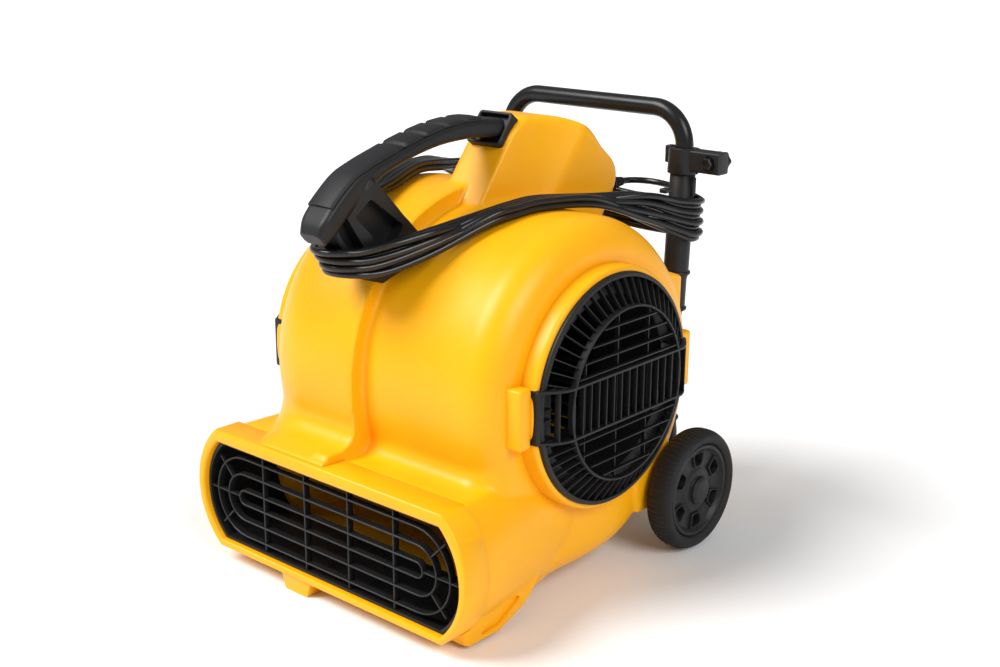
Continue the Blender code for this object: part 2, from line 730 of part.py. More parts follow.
def box_solid(inset):
    """Leaning sections from the nose to the back, rounded along the lid."""
    corner = 10.0
    rings = []
    stations = (-15.0, -11.0, -3.0, 14.0, 32.0, 52.0, 68.0, 80.0, 104.0, 134.0, 160.0, 183.0, 196.0, 204.0,
                213.0, BOX_END_S)
    for s in stations:
        half = box_half_width(s) - inset
        end = smoothstep((s - 183.0) / 45.0)
        half -= 16.0 * end * end
        place = min(max(s, NOSE_S + inset), BOX_END_S - inset)
        top = box_top(place) - inset
        right = arc((half - corner, top - corner), corner, 0.0, 90.0, 3)
        section = [(half, 330.0)] + right + [(-x, z) for x, z in reversed(right)] + [(-half, 330.0)]
        rings.append([(x, place + BOX_LEAN * (z - BOX_BASE_Z), z) for x, z in section])
    return loft(rings)


def electrical_box():
    shell = box_solid(0.0)
    inside = box_solid(WALL)
    cut(shell, inside)
    cut(shell, scroll_body(1, -GAP, -GAP), scroll_body(-1, -GAP, -GAP))
    cut(shell, box((-42.0, 205.5, 413.0), (42.0, 230.0, 457.0)))
    cut(shell, box((-36.0, 190.0, 419.0), (36.0, 230.0, 451.0)))
    cut(shell, rod((46.0, 190.0, 426.0), (46.0, 230.0, 426.0), 5.3, sides=12))
    as_part(shell, "control_box", YELLOW)

    panel = box((-41.5, 205.8, 413.5), (41.5, 209.0, 456.5))
    cut(panel, rod((0.0, 190.0, 436.0), (0.0, 220.0, 436.0), 4.3, sides=12))
    as_part(panel, "control_panel", BLACK)
    as_part(box((-17.0, 176.0, 420.0), (17.0, 205.5, 450.5), bevel=1.0), "switch_body", GREY)
    knob = turned([(0.0, 13.0), (9.0, 13.0), (12.5, 10.0), (14.0, 0.0), (0.0, 0.0)], 20)
    along_y(knob, 0.0, 209.3, 436.0)
    join(knob, box((-1.5, 221.0, 440.0), (1.5, 223.6, 448.0)))
    as_part(knob, "speed_knob", BLACK)
    for i, (x, z) in enumerate(((-36.0, 418.0), (36.0, 418.0), (-36.0, 452.0), (36.0, 452.0))):
        screw = turned([(0.0, 2.2), (2.0, 2.0), (3.2, 0.9), (3.2, 0.0), (0.0, 0.0)], 10)
        as_part(along_y(screw, x, 209.3, z), f"panel_screw_{i + 1}", STEEL)
    can = rod((-40.0, 96.0, 455.0), (40.0, 96.0, 455.0), 16.0, sides=18)
    as_part(can, "run_capacitor", GREY)
    gland = turned([(CORD_R + GAP, 226.0), (6.0, 226.0), (8.0, 217.0), (8.0, 213.5), (CORD_R + GAP, 213.5)],
                   12, closed=True)
    along_y(gland, 46.0, 0.0, 426.0)
    as_part(gland, "strain_relief", BLACK)
    return knob


# ---------------------------------------------------------------- carry handle

HANDLE_HALF = 21.0
# top and underside of the arch, from the box to the tip of the beak
ARCH = (((38.0, 521.0), (36.0, 499.0)), ((5.0, 524.5), (5.0, 502.5)), ((-26.0, 525.0), (-25.0, 503.5)),
        ((-65.0, 521.0), (-68.0, 501.0)), ((-106.0, 512.0), (-114.0, 492.0)),
        ((-145.0, 501.0), (-152.0, 480.0)), ((-175.0, 491.5), (-176.0, 467.0)),
        ((-199.0, 481.0), (-190.0, 457.0)), ((-226.0, 459.0), (-209.0, 441.0)),
        ((-240.0, 443.0), (-224.0, 427.0)), ((-244.5, 433.0), (-234.0, 421.0)))
PAD_FROM, PAD_TO, PAD_HALF, PAD_DEEP = 1, 6, 17.0, 3.0


def arch_section(top, under, half):
    """Eight-sided section between a top and an underside point."""
    top, under = Vector(top), Vector(under)
    corner = 5.0
    down = (under - top).normalized() * corner
    rows = ((half - corner, top), (half, top + down), (half, under - down), (half - corner, under))
    right = [(x, p.x, p.y) for x, p in rows]
    return right + [(-x, y, z) for x, y, z in reversed(right)]


def pad_body(swell, depth):
    """Slab along the top of the arch, thicker upwards when it is a cutter."""
    rings = []
    half = PAD_HALF + swell
    stations = ARCH[PAD_FROM:PAD_TO + 1]
    for i, (top, under) in enumerate(stations):
        top, under = Vector(top), Vector(under)
        down = (under - top).normalized()
        outward = swell * ((i == 0) - (i == len(stations) - 1))
        high = top - down * (0.4 if swell == 0.0 else 4.0) + Vector((outward, 0.0))
        low = top + down * depth + Vector((outward, 0.0))
        rings.append([(half, high.x, high.y), (half, low.x, low.y), (-half, low.x, low.y),
                      (-half, high.x, high.y)])
    return loft(rings)


def carry_handle():
    arch = loft([arch_section(top, under, HANDLE_HALF - (3.0 if i == len(ARCH) - 1 else 0.0))
                 for i, (top, under) in enumerate(ARCH)])
    side_view = [(-176.0, 480.0), (-168.0, 472.0), (-109.0, 411.0), (-103.0, 398.0), (-99.0, 384.0),
                 (-165.0, 364.0), (-190.0, 372.0), (-204.0, 393.0), (-216.0, 412.0), (-219.0, 434.0),
                 (-209.0, 446.0)]
    plan = [(26.0, -80.0), (25.0, -180.0), (8.0, -221.0), (-8.0, -221.0), (-25.0, -180.0), (-26.0, -80.0)]
    strut = boolean(prism([side_view], "YZ", -30.0, 30.0), prism([plan], "XY", 340.0, 500.0), "INTERSECT")
    join(arch, strut)
    rear_pocket = [(-181.0, 459.0), (-134.0, 424.0), (-150.0, 403.0), (-166.0, 403.0), (-199.0, 441.0)]
    for side in (1, -1):
        cut(arch, side_prism(side, rear_pocket, 14.0, 40.0))
    cut(arch, pad_body(GAP, PAD_DEEP + GAP))
    cut(arch, scroll_body(1, -GAP, -GAP), scroll_body(-1, -GAP, -GAP))
    as_part(arch, "carry_handle", BLACK)

    pad = pad_body(0.0, PAD_DEEP)
    for y, z in ((-26.0, 525.5), (-58.0, 522.5), (-92.0, 516.0), (-124.0, 507.5)):
        cut(pad, rod((-30.0, y, z + 0.6), (30.0, y, z + 0.6), 1.6, sides=8))
    as_part(pad, "handle_grip_pad", RUBBER)

    outline = [(38.4, 493.0), (50.0, 490.0), (64.0, 524.5), (38.4, 525.0)]
    shield = side_prism(1, outline, -24.0, 24.0)
    cut(shield, box_solid(-GAP))
    as_part(shield, "handle_escutcheon", BLACK)


# ---------------------------------------------------------------- trolley handle

def trolley_path():
    """U-shaped path in the leaning plane of the posts."""
    path = []
    for side in (-1, 1):
        bend = [(side * (POST_X - BEND_R + BEND_R * math.sin(math.radians(a))),
                 POST_TOP_Z - BEND_R * (1.0 - math.cos(math.radians(a)))) for a in (0, 18, 36, 54, 72, 90)]
        leg = bend + [(side * POST_X, 300.0), (side * POST_X, 70.0)]
        path += list(reversed(leg)) if side < 0 else leg
    return [(x, post_y(z), z) for x, z in path]


def trolley_parts():
    path = trolley_path()
    tube = pipe(path, TUBE_R, 4)
    beyond = Vector((0.0, -math.sin(POST_TILT), -math.cos(POST_TILT))) * 6.0
    bore = [Vector(path[0]) + beyond] + path[1:-1] + [Vector(path[-1]) + beyond]
    cut(tube, pipe(bore, TUBE_R - TUBE_WALL, 3))
    moving = [as_part(tube, "trolley_tube", SATIN_BLACK)]
    for side in (-1, 1):
        name = "right" if side > 0 else "left"
        bore_r = TUBE_R - TUBE_WALL - 1.0
        plug = turned([(0.0, 82.0), (bore_r, 82.0), (bore_r, 69.5), (TUBE_R, 69.5), (TUBE_R, 67.5),
                       (0.0, 67.5)], 12)
        moving.append(as_part(on_post(plug, side), f"tube_end_cap_{name}", BLACK))
        bead = SLEEVE_R + 2.3
        sleeve = [(SLEEVE_R, SLEEVE_HIGH), (SLEEVE_R, 329.0), (bead, 328.0), (bead, 324.0), (SLEEVE_R, 323.0),
                  (SLEEVE_R - 1.5, 300.0), (SLEEVE_R - 1.5, 284.0), (bead - 1.0, 283.0), (bead - 1.0, 279.0),
                  (SLEEVE_R - 1.5, SLEEVE_LOW), (BORE_R, SLEEVE_LOW), (BORE_R, SLEEVE_HIGH)]
        guide = on_post(turned(sleeve, 14, closed=True), side)
        rib = side_box(side, 150.0, 158.0, (226.0, 232.0), (422.0, 444.0))
        join(guide, rib)
        as_part(guide, f"guide_sleeve_{name}", BLACK)
        socket = [(0.0, SOCKET_LOW), (BORE_R, SOCKET_LOW), (BORE_R, SOCKET_HIGH),
                  (SLEEVE_R - 1.5, SOCKET_HIGH),
                  (bead - 1.0, SOCKET_HIGH - 1.0), (bead - 1.0, SOCKET_HIGH - 5.0),
                  (SLEEVE_R - 1.5, SOCKET_HIGH - 6.0), (SLEEVE_R, 120.0), (SLEEVE_R, 60.0), (0.0, 60.0)]
        as_part(on_post(turned(socket, 12), side), f"lower_socket_{name}", BLACK)
        clamp_parts(side, name)
    return moving


def clamp_parts(side, name):
    """Split clamp collar with ears, hex screw from the front and knob behind."""
    y = post_y(CLAMP_SCREW_Z)
    x = side * CLAMP_SCREW_X
    wall = [(19.0, CLAMP_HIGH), (19.0, CLAMP_LOW), (BORE_R, CLAMP_LOW), (BORE_R, CLAMP_HIGH)]
    ring = on_post(turned(wall, 20, closed=True), side)
    ears = side_box(side, POST_X + 14.0, CLAMP_SCREW_X + 14.0, (y - 11.0, y + 11.0), (452.0, 478.0),
                    bevel=3.0)
    lug = side_box(side, POST_X - 24.0, POST_X - 15.0, (y - 6.0, y + 6.0), (459.0, 480.0))
    join(ring, ears, lug)
    cut(ring, rod((x, y - 30.0, CLAMP_SCREW_Z), (x, y + 30.0, CLAMP_SCREW_Z), 3.3, sides=12))
    slit_low, slit_high = span(side, POST_X + 17.0, CLAMP_SCREW_X + 8.0)
    cut(ring, box((slit_low, y - 1.2, 440.0), (slit_high, y + 1.2, 490.0)))
    as_part(ring, f"clamp_collar_{name}", BLACK)
    bolt = turned([(0.0, 6.0), (2.8, 6.0), (3.0, 5.0), (3.0, -22.3), (8.0, -22.3), (8.0, -28.0),
                   (0.0, -28.0)], 6)
    along_y(bolt, x, y + 11.0, CLAMP_SCREW_Z)
    as_part(bolt, f"clamp_bolt_{name}", STEEL)
    knob = turned([(0.0, 13.0), (9.0, 13.0), (12.0, 10.0), (12.0, 3.0), (8.0, 0.3), (3.3, 0.3),
                   (3.3, 7.0), (0.0, 7.0)], 10)
    along_y(knob, x, y + 11.0, CLAMP_SCREW_Z)
    KNOBS.append((as_part(knob, f"clamp_knob_{name}", BLACK), (x, y, CLAMP_SCREW_Z)))


# ---------------------------------------------------------------- wheels and feet

def wheel_parts(side, name):
    tyre_profile = [(HUB_R + 1.0, WHEEL_OUT - 4.0), (66.0, WHEEL_OUT), (71.0, WHEEL_OUT - 2.0),
                    (WHEEL_R, WHEEL_OUT - 10.0), (WHEEL_R, WHEEL_IN + 10.0), (71.0, WHEEL_IN + 2.0),
                    (66.0, WHEEL_IN), (HUB_R + 1.0, WHEEL_IN + 4.0)]
    tyre = along_x(turned(tyre_profile, 30, closed=True), side, WHEEL_Y, WHEEL_Z)
    as_part(tyre, f"tyre_{name}", RUBBER)
    hub_profile = [(AXLE_R + GAP, 223.0), (26.0, 223.0), (29.0, 220.0), (48.0, 220.0), (51.0, 224.0),
                   (HUB_R, 224.0), (HUB_R, 199.0), (50.0, 199.0), (48.0, 204.0), (24.0, 204.0),
                   (22.0, WHEEL_IN),
                   (AXLE_R + GAP, WHEEL_IN)]
    hub = along_x(turned(hub_profile, 20, closed=True), side, WHEEL_Y, WHEEL_Z)
    place = Matrix.Translation((0.0, WHEEL_Y * MM, WHEEL_Z * MM))
    windows = []
    x_low, x_high = span(side, 190.0, 232.0)
    for i in range(6):
        turn = place @ Matrix.Rotation(math.radians(60.0 * i + 30.0), 4, "X")
        windows.append(((x_low, 33.0, -8.0), (x_high, 46.0, 8.0), turn))
    cut(hub, boxes(windows))
    as_part(hub, f"wheel_hub_{name}", BLACK)
    cap = turned([(0.0, 228.5), (14.0, 228.5), (17.0, 226.5), (17.5, 223.3), (0.0, 223.3)], 16)
    along_x(cap, side, WHEEL_Y, WHEEL_Z)
    as_part(cap, f"hub_cap_{name}", BLACK)
    foot = side_box(side, 164.0, 183.5, (-193.5, -164.5), (0.0, 9.0), bevel=1.5)
    as_part(foot, f"rubber_foot_{name}", RUBBER)
    return [tyre, hub, cap]


# ---------------------------------------------------------------- cord

# one side of the coil: place of its middle line and its height there
COIL_SIDE = (((8.0, -218.0, 393.0), 34.0), ((23.0, -208.0, 393.0), 34.0), ((32.0, -190.0, 393.0), 34.0),
             ((43.0, -160.0, 398.0), 34.0), ((60.0, -120.0, 410.0), 30.0), ((78.0, -60.0, 432.0), 24.0),
             ((88.0, -25.0, 438.5), 22.0), ((98.0, 11.0, 442.0), 22.0), ((118.0, 80.0, 437.0), 26.0),
             ((137.0, 150.0, 418.0), 36.0), ((153.0, 200.0, 400.0), 48.0), ((160.5, 220.0, 394.0), 54.0),
             ((161.0, 232.0, 392.5), 54.0), ((155.0, 245.0, 392.0), 54.0), ((140.0, 250.0, 392.0), 54.0),
             ((60.0, 250.0, 392.0), 54.0))
COIL_LEAN = 0.65                           # the front of the coil leans as the strut does
LEFT_LIFT = (0.0, 0.0, 3.0, 10.0, 17.0, 20.0, 20.0, 19.0, 16.0, 8.0, 0.0, 0.0, 0.0, 0.0, 0.0, 0.0)


def coil_section(centre, height, outward):
    """Rounded upright section across the way of the coil."""
    half = height * 0.5
    rows = ((-CORD_R, -half + 4.0), (0.0, -half), (CORD_R, -half + 4.0), (CORD_R, half - 4.0), (0.0, half),
            (-CORD_R, half - 4.0))
    lean = COIL_LEAN * smoothstep((-centre[1] - 165.0) / 25.0)
    return [(centre[0] + outward[0] * w, centre[1] + outward[1] * w - lean * h, centre[2] + h) for w, h in rows]


def cord_coil():
    """Eight turns round the handle's strut and both guide sleeves, as one band."""
    right = list(COIL_SIDE)
    left = [((-x, y, z + lift), height) for ((x, y, z), height), lift in zip(COIL_SIDE, LEFT_LIFT)]
    way = right + list(reversed(left))
    rings = []
    count = len(way)
    for i, (centre, height) in enumerate(way):
        before, after = Vector(way[i - 1][0]), Vector(way[(i + 1) % count][0])
        tangent = (after - before).normalized()
        outward = Vector((tangent.y, -tangent.x, 0.0)).normalized()
        rings.append(coil_section(centre, height, outward))
    as_part(loft(rings, closed=True), "cord_coil", SATIN_BLACK)


def loose_cord():
    """Lead from the gland onto the top of the coil, and the tail that drops to the plug."""
    lead = [(46.0, 226.3, 426.0), (46.0, 233.0, 426.0), (47.5, 242.0, 425.9), (53.0, 251.0, 425.7),
            (63.0, 258.0, 425.4), (78.0, 261.0, 425.0), (96.0, 258.5, 424.6), (112.0, 253.0, 424.2),
            (124.0, 250.0, 424.0)]
    as_part(pipe(smooth_route(lead, 9.0), CORD_R, 2), "cord_lead", SATIN_BLACK)
    tail = [(-70.0, 250.0, 360.0), (-52.0, 250.0, 358.5), (-34.0, 250.0, 351.0), (-23.0, 250.0, 338.0),
            (-20.0, 250.0, 326.0), (-20.0, 250.0, 318.5)]
    as_part(pipe(smooth_route(tail, 9.0), CORD_R, 2), "cord_tail", SATIN_BLACK)
    plug = turned([(0.0, 318.0), (6.0, 318.0), (7.5, 300.0), (16.0, 292.0), (16.0, 272.0), (14.0, 268.0),
                   (0.0, 268.0)], 16)
    plug.location = (-20.0 * MM, 250.0 * MM, 0.0)
    for x in (-29.5, -10.5):
        join(plug, rod((x, 250.0, 270.0), (x, 250.0, 249.0), 2.4, sides=10))
    as_part(plug, "plug", BLACK)
    clip = box((142.0, 177.0, 431.0), (152.0, 189.0, 436.5), bevel=1.0)
    as_part(clip, "cord_clip", BLACK)


# ---------------------------------------------------------------- joints

def joint_empty(name, place, pieces):
    """Empty on a joint's axis that carries the moving pieces."""
    pivot = bpy.data.objects.new(name, None)
    pivot.location = Vector(place) * MM
    PARTS.objects.link(pivot)
    for piece in pieces:
        piece.parent = pivot
        piece.matrix_parent_inverse = Matrix.Translation(pivot.location).inverted()


def main():
    housing_half(1)
    housing_half(-1)
    outlet_collar()
    outlet_grille()
    inlet_guard(1)
    inlet_guard(-1)
    impeller, hub = fan_parts()
    joint_empty("axis_impeller", (0.0, FAN_Y, FAN_Z), [impeller, hub])
    speed_knob = electrical_box()
    joint_empty("axis_speed_knob", (0.0, 209.3, 436.0), [speed_knob])
    carry_handle()
    moving = trolley_parts()
    joint_empty("axis_trolley", (0.0, POST_TOP_Y, POST_TOP_Z), moving)
    for knob, place in KNOBS:
        joint_empty("axis_" + knob.name, place, [knob])
    as_part(rod((-222.5, WHEEL_Y, WHEEL_Z), (222.5, WHEEL_Y, WHEEL_Z), AXLE_R, sides=14), "axle", STEEL)
    for side, name in ((1, "right"), (-1, "left")):
        pieces = wheel_parts(side, name)
        joint_empty("axis_wheel_" + name, (side * 211.0, WHEEL_Y, WHEEL_Z), pieces)
    cord_coil()
    loose_cord()
    for item in (*PARTS.objects, *CUTTERS.objects):
        if item.parent is None:
            item.location.y += ORIGIN_SHIFT_Y * MM


KNOBS = []
empty_scene()
PARTS = new_collection("air_mover")
CUTTERS = new_collection("cutters")
main()
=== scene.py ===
"""Looks of the air mover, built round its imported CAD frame.

Shapes are in millimetres and are scaled to metres where a mesh is made. +X is the object's right,
-Y the outlet, +Z up, as in the frame.
"""
import math

import bmesh
import bpy
from mathutils import Matrix, Vector


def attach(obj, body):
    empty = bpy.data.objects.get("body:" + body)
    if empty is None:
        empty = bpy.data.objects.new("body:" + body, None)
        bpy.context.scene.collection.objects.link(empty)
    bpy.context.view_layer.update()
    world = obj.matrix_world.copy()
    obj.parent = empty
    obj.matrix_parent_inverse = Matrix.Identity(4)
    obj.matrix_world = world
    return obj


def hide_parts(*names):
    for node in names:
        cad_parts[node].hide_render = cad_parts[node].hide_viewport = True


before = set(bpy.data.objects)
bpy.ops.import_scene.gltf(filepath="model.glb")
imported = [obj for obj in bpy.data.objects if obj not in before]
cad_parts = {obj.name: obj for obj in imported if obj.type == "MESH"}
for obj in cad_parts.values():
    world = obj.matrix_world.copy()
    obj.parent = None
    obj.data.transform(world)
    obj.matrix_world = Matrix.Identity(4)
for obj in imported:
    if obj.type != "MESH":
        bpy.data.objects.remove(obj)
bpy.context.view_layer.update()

MM = 0.001
GAP = 0.3                                  # clearance between neighbouring parts
WELD = 0.00001                             # metres: points closer than this are one
FINE = 24
NAMES = {1: "right", -1: "left"}
ORIGIN_SHIFT_Y = -5.07                     # the frame's origin is this far from the one used here
SHIFT = Matrix.Translation((0, ORIGIN_SHIFT_Y * MM, 0))

# Scroll housing, as in the frame
FAN_Y, FAN_Z = 11, 242
SCROLL_R, SCROLL_GROWTH = 187, 37
SCROLL_FROM, SCROLL_TO, SCROLL_END = 112, 252, 270
LEFT_STEP = 18
SIDE_X, WALL = 186, 3.5
ROOF = {1: 164.5, -1: 177}
ROOF_FILLET = {1: 18, -1: 22}
ROOF_FRONT = {1: -206, -1: -240}
SHOULDER_X = {1: 146, -1: 82}
SHOULDER_DROP = {1: 40, -1: 100}
FLOOR_Z = 21
SEAM_X = 6                               # the halves part just beside the step

# Outlet; a racetrack is (corner x, low z, high z, bulge x)
COLLAR_FRONT, COLLAR_BACK = -245, -207
COLLAR_OUTER = (182.5, 18.5, 166.5, 218.5)
COLLAR_INNER = (179.6, 26.9, 151.6, 208)
DUCT_SIDE = 215
GRILLE_FRONT, GRILLE_DEPTH = -238, 10
# Black sleeve inside the duct behind the grille: painted shade standing for the dark of the deep yellow
# duct
DUCT_SHADE_FRONT, DUCT_SHADE_BACK = -227.6, -140

# Inlets
INLET_R, RING_R, RING_X = 112, 139.5, 196
RING_TOP_X = 206.5
GUARD_R, GUARD_RIM_X, GUARD_TOP_X, GUARD_INNER_R = 132.6, 211, 229, 98
SLATS, SLAT_WIDE, SLAT_DEEP = 56, 1.3, 6.4
BAR_HALF = 0.8
BOSS_LONG, BOSS_HALF_H = 19, 34
BAND_HALF_H, BAND_HALF_L, BAND_RISE, BAND_END_X = 30, 136.5, 38, 207.5

# Trolley handle and wheels
TUBE_R, POST_X, POST_TOP_Z, POST_TOP_Y, BEND_R = 11, 139, 523.5, 234, 47
POST_TILT = math.radians(2.8)
TUBE_LOW, TUBE_BEND_LOW = 70, 300      # the tube's end, and a point half way down its legs
SLEEVE_R, BORE_R = 15.5, 11.8
SLEEVE_LOW, SLEEVE_HIGH = 278, 448
CLAMP_LOW, CLAMP_HIGH = 448.3, 479
CLAMP_SCREW_X, CLAMP_SCREW_Z = 181, 465
SOCKET_LOW, SOCKET_HIGH = 66, 142
WHEEL_Y, WHEEL_Z, WHEEL_R = 170, 75, 75
WHEEL_IN, WHEEL_OUT = 194, 228
HUB_R, AXLE_R = 58, 6

# Electrical box
BOX_LEAN, BOX_BASE_Z, BOX_CORNER = 0.75, 425, 10
NOSE_HALF, BOX_HALF = 32, 60
NOSE_S, CREASE_S, BOX_END_S = -21, 80, 221

# Cord
CORD_R, TURNS, CORD_STEP = 4, 8, 7
PLUG_X, PLUG_Y, PIN_APART = -20, 250, 9.5
GLAND_X, GLAND_Z = 46, 426

# Mould finish: voxel size and smoothing rounds, and the angle from which a shell's edges stay sharp
HOUSING_SKIN = (2.5, 6)
HANDLE_SKIN = (1.5, 4)
SHELL_SHARP = 40


# ---------------------------------------------------------------- materials

GLOSS_SPREAD, GRAIN_DEEP = 0.08, 0.0004


def material(name, dark, light, roughness, grain, bump, metallic=0, patch=9, shine=0.3):
    """Moulded or painted surface: patchy colour, uneven gloss and a fine grain."""
    made = bpy.data.materials.new(name)
    made.use_nodes = True
    nodes, links = made.node_tree.nodes, made.node_tree.links
    shader = nodes["Principled BSDF"]
    shader.inputs["Metallic"].default_value = metallic
    shader.inputs["Specular IOR Level"].default_value = shine
    place = nodes.new("ShaderNodeTexCoord")

    def noise(scale, detail, rough):
        made_noise = nodes.new("ShaderNodeTexNoise")
        made_noise.inputs["Scale"].default_value = scale
        made_noise.inputs["Detail"].default_value = detail
        made_noise.inputs["Roughness"].default_value = rough
        links.new(place.outputs["Object"], made_noise.inputs["Vector"])
        return made_noise

    clouds = noise(patch, 4, 0.55)
    ramp = nodes.new("ShaderNodeValToRGB")
    ramp.color_ramp.elements[0].position = 0.3
    ramp.color_ramp.elements[0].color = (*dark, 1)
    ramp.color_ramp.elements[1].position = 0.7
    ramp.color_ramp.elements[1].color = (*light, 1)
    links.new(clouds.outputs["Fac"], ramp.inputs["Fac"])
    links.new(ramp.outputs["Color"], shader.inputs["Base Color"])

    gloss = noise(patch * 6, 6, 0.6)
    span = nodes.new("ShaderNodeMapRange")
    span.inputs["To Min"].default_value = roughness - GLOSS_SPREAD
    span.inputs["To Max"].default_value = roughness + GLOSS_SPREAD
    links.new(gloss.outputs["Fac"], span.inputs["Value"])
    links.new(span.outputs["Result"], shader.inputs["Roughness"])

    fine = noise(grain, 2, 0.5)
    relief = nodes.new("ShaderNodeBump")
    relief.inputs["Strength"].default_value = bump
    relief.inputs["Distance"].default_value = GRAIN_DEEP
    links.new(fine.outputs["Fac"], relief.inputs["Height"])
    links.new(relief.outputs["Normal"], shader.inputs["Normal"])
    return made


LOOKS = {
    "yellow_plastic": material(
        "yellow_plastic", (0.90, 0.400, 0.003), (0.96, 0.440, 0.004), 0.36, 900, 0.10),
    "black_plastic": material(
        "black_plastic", (0.0085, 0.0085, 0.009), (0.013, 0.013, 0.0138), 0.44, 1500, 0.25),
    "black_tube": material(
        "black_tube", (0.007, 0.007, 0.0075), (0.010, 0.010, 0.011), 0.30, 1100, 0.10),
    "rubber": material("rubber", (0.010, 0.010, 0.011), (0.016, 0.016, 0.018), 0.52, 1300, 0.4),
    "tyre": material("tyre", (0.012, 0.011, 0.011), (0.019, 0.018, 0.018), 0.66, 900, 0.5),
    "steel": material("steel", (0.42, 0.43, 0.44), (0.56, 0.57, 0.58), 0.34, 700, 0.12, metallic=1),
    "grey_motor": material("grey_motor", (0.17, 0.175, 0.18), (0.23, 0.235, 0.24), 0.5, 800, 0.3),
    "cord_pvc": material(
        "cord_pvc", (0.006, 0.006, 0.0065), (0.010, 0.010, 0.011), 0.24, 600, 0.06, patch=30, shine=0.45),
}


# ---------------------------------------------------------------- mesh tools

def link(item):
    bpy.context.scene.collection.objects.link(item)
    return item


def baked(item):
    """The object as a plain mesh, its modifiers and its place applied."""
    if item.name not in bpy.context.scene.collection.objects:
        link(item)
    bpy.context.view_layer.update()
    graph = bpy.context.evaluated_depsgraph_get()
    mesh = bpy.data.meshes.new_from_object(item.evaluated_get(graph))
    mesh.transform(item.matrix_world)
    bpy.data.objects.remove(item, do_unlink=True)
    return link(bpy.data.objects.new("shape", mesh))


def combined(item, operation, tools, solver="MANIFOLD"):
    made = [baked(tool) for tool in tools]
    for tool in made:
        step = item.modifiers.new("combine", "BOOLEAN")
        step.operation = operation
        step.solver = solver
        step.object = tool
    result = baked(item)
    for tool in made:
        bpy.data.objects.remove(tool, do_unlink=True)
    return result


def join(item, *tools, solver="MANIFOLD"):
    return combined(item, "UNION", tools, solver)


def cut(item, *tools, solver="MANIFOLD"):
    return combined(item, "DIFFERENCE", tools, solver)


def copied(item):
    return link(bpy.data.objects.new("shape", item.data.copy()))


def from_bmesh(shape):
    bmesh.ops.recalc_face_normals(shape, faces=shape.faces)
    mesh = bpy.data.meshes.new("shape")
    shape.to_mesh(mesh)
    shape.free()
    return link(bpy.data.objects.new("shape", mesh))


def together(*items):
    """Several solids in one mesh."""
    shape = bmesh.new()
    for item in items:
        item = baked(item)
        shape.from_mesh(item.data)
        bpy.data.objects.remove(item, do_unlink=True)
    return from_bmesh(shape)


def moulded(item, voxel, rounds):
    """Fuse overlapping solids into one skin and round its edges as a mould does."""
    fuse = item.modifiers.new("fuse", "REMESH")
    fuse.mode = "VOXEL"
    fuse.voxel_size = voxel * MM
    soften = item.modifiers.new("soften", "SMOOTH")
    soften.factor = 0.5
    soften.iterations = rounds
    return baked(item)


def bevelled(item, width, segments=3):
    step = item.modifiers.new("edge", "BEVEL")
    step.width = width * MM
    step.segments = segments
    step.limit_method = "ANGLE"
    step.angle_limit = math.radians(35)
    step.use_clamp_overlap = True
    return baked(item)


def piece(item, name, *nodes, body="base", slot="black_plastic", sharp=32):
    """Give a finished shape its name, material, body and the CAD nodes it stands for."""
    item = baked(item)
    item.data.transform(SHIFT)
    item.name = name
    item.data.name = name
    item.data.materials.clear()
    item.data.materials.append(LOOKS[slot])
    item.data.shade_smooth()
    item.data.set_sharp_from_angle(angle=math.radians(sharp))
    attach(item, body)
    if nodes:
        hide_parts(*nodes)
    return item


def boxes(spans, turn=Matrix.Identity(4)):
    """Blocks, each between its low and its high corner."""
    shape = bmesh.new()
    for low, high in spans:
        size = (Vector(high) - Vector(low)) * MM
        middle = (Vector(high) + Vector(low)) * 0.5 * MM
        place = turn @ Matrix.Translation(middle) @ Matrix.Diagonal((*size, 1))
        bmesh.ops.create_cube(shape, size=1, matrix=place)
    return from_bmesh(shape)


def box(low, high):
    return boxes([(low, high)])


def rod(start, end, radius, sides=32):
    start, end = Vector(start) * MM, Vector(end) * MM
    along = end - start
    shape = bmesh.new()
    place = Matrix.Translation((start + end) * 0.5) @ along.to_track_quat("Z", "Y").to_matrix().to_4x4()
    bmesh.ops.create_cone(shape, cap_ends=True, segments=sides, radius1=radius * MM,
                          radius2=radius * MM, depth=along.length, matrix=place)
    return from_bmesh(shape)


def loft(rings, closed=False):
    """Skin a row of sections with the same number of points."""
    shape = bmesh.new()
    rows = [[shape.verts.new(Vector(point) * MM) for point in ring] for ring in rings]
    size = len(rows[0])
    pairs = list(zip(rows, rows[1:]))
    if closed:
        pairs.append((rows[-1], rows[0]))
    else:
        shape.faces.new(rows[0])
        shape.faces.new(list(reversed(rows[-1])))
    for first, second in pairs:
        for i in range(size):
            k = (i + 1) % size
            shape.faces.new((first[k], first[i], second[i], second[k]))
    return from_bmesh(shape)


def turned(profile, steps, closed=False, radial=None):
    """Turn (radius, height) points round Z; radial(i, r, h) can shape the radius round the way."""
    shape = bmesh.new()
    rows = []
    for r, h in profile:
        if r < 1e-6:
            rows.append([shape.verts.new((0, 0, h * MM))])
            continue
        row = []
        for i in range(steps):
            radius = radial(i, r, h) if radial else r
            angle = 2 * math.pi * i / steps
            place = (radius * math.cos(angle) * MM, radius * math.sin(angle) * MM, h * MM)
            row.append(shape.verts.new(place))
        rows.append(row)
    pairs = list(zip(rows, rows[1:])) + ([(rows[-1], rows[0])] if closed else [])
    for first, second in pairs:
        for i in range(steps):
            k = (i + 1) % steps
            corners = [first[i % len(first)], first[k % len(first)]]
            corners += [second[k % len(second)], second[i % len(second)]]
            unique = list(dict.fromkeys(corners))
            if len(unique) > 2:
                shape.faces.new(unique)
    return from_bmesh(shape)


def along_x(item, side, y, z):
    item.rotation_euler = (0, side * math.pi / 2, 0)
    item.location = (0, y * MM, z * MM)
    return item


def along_y(item, x, y, z):
    item.rotation_euler = (-math.pi / 2, 0, 0)
    item.location = (x * MM, y * MM, z * MM)
    return item


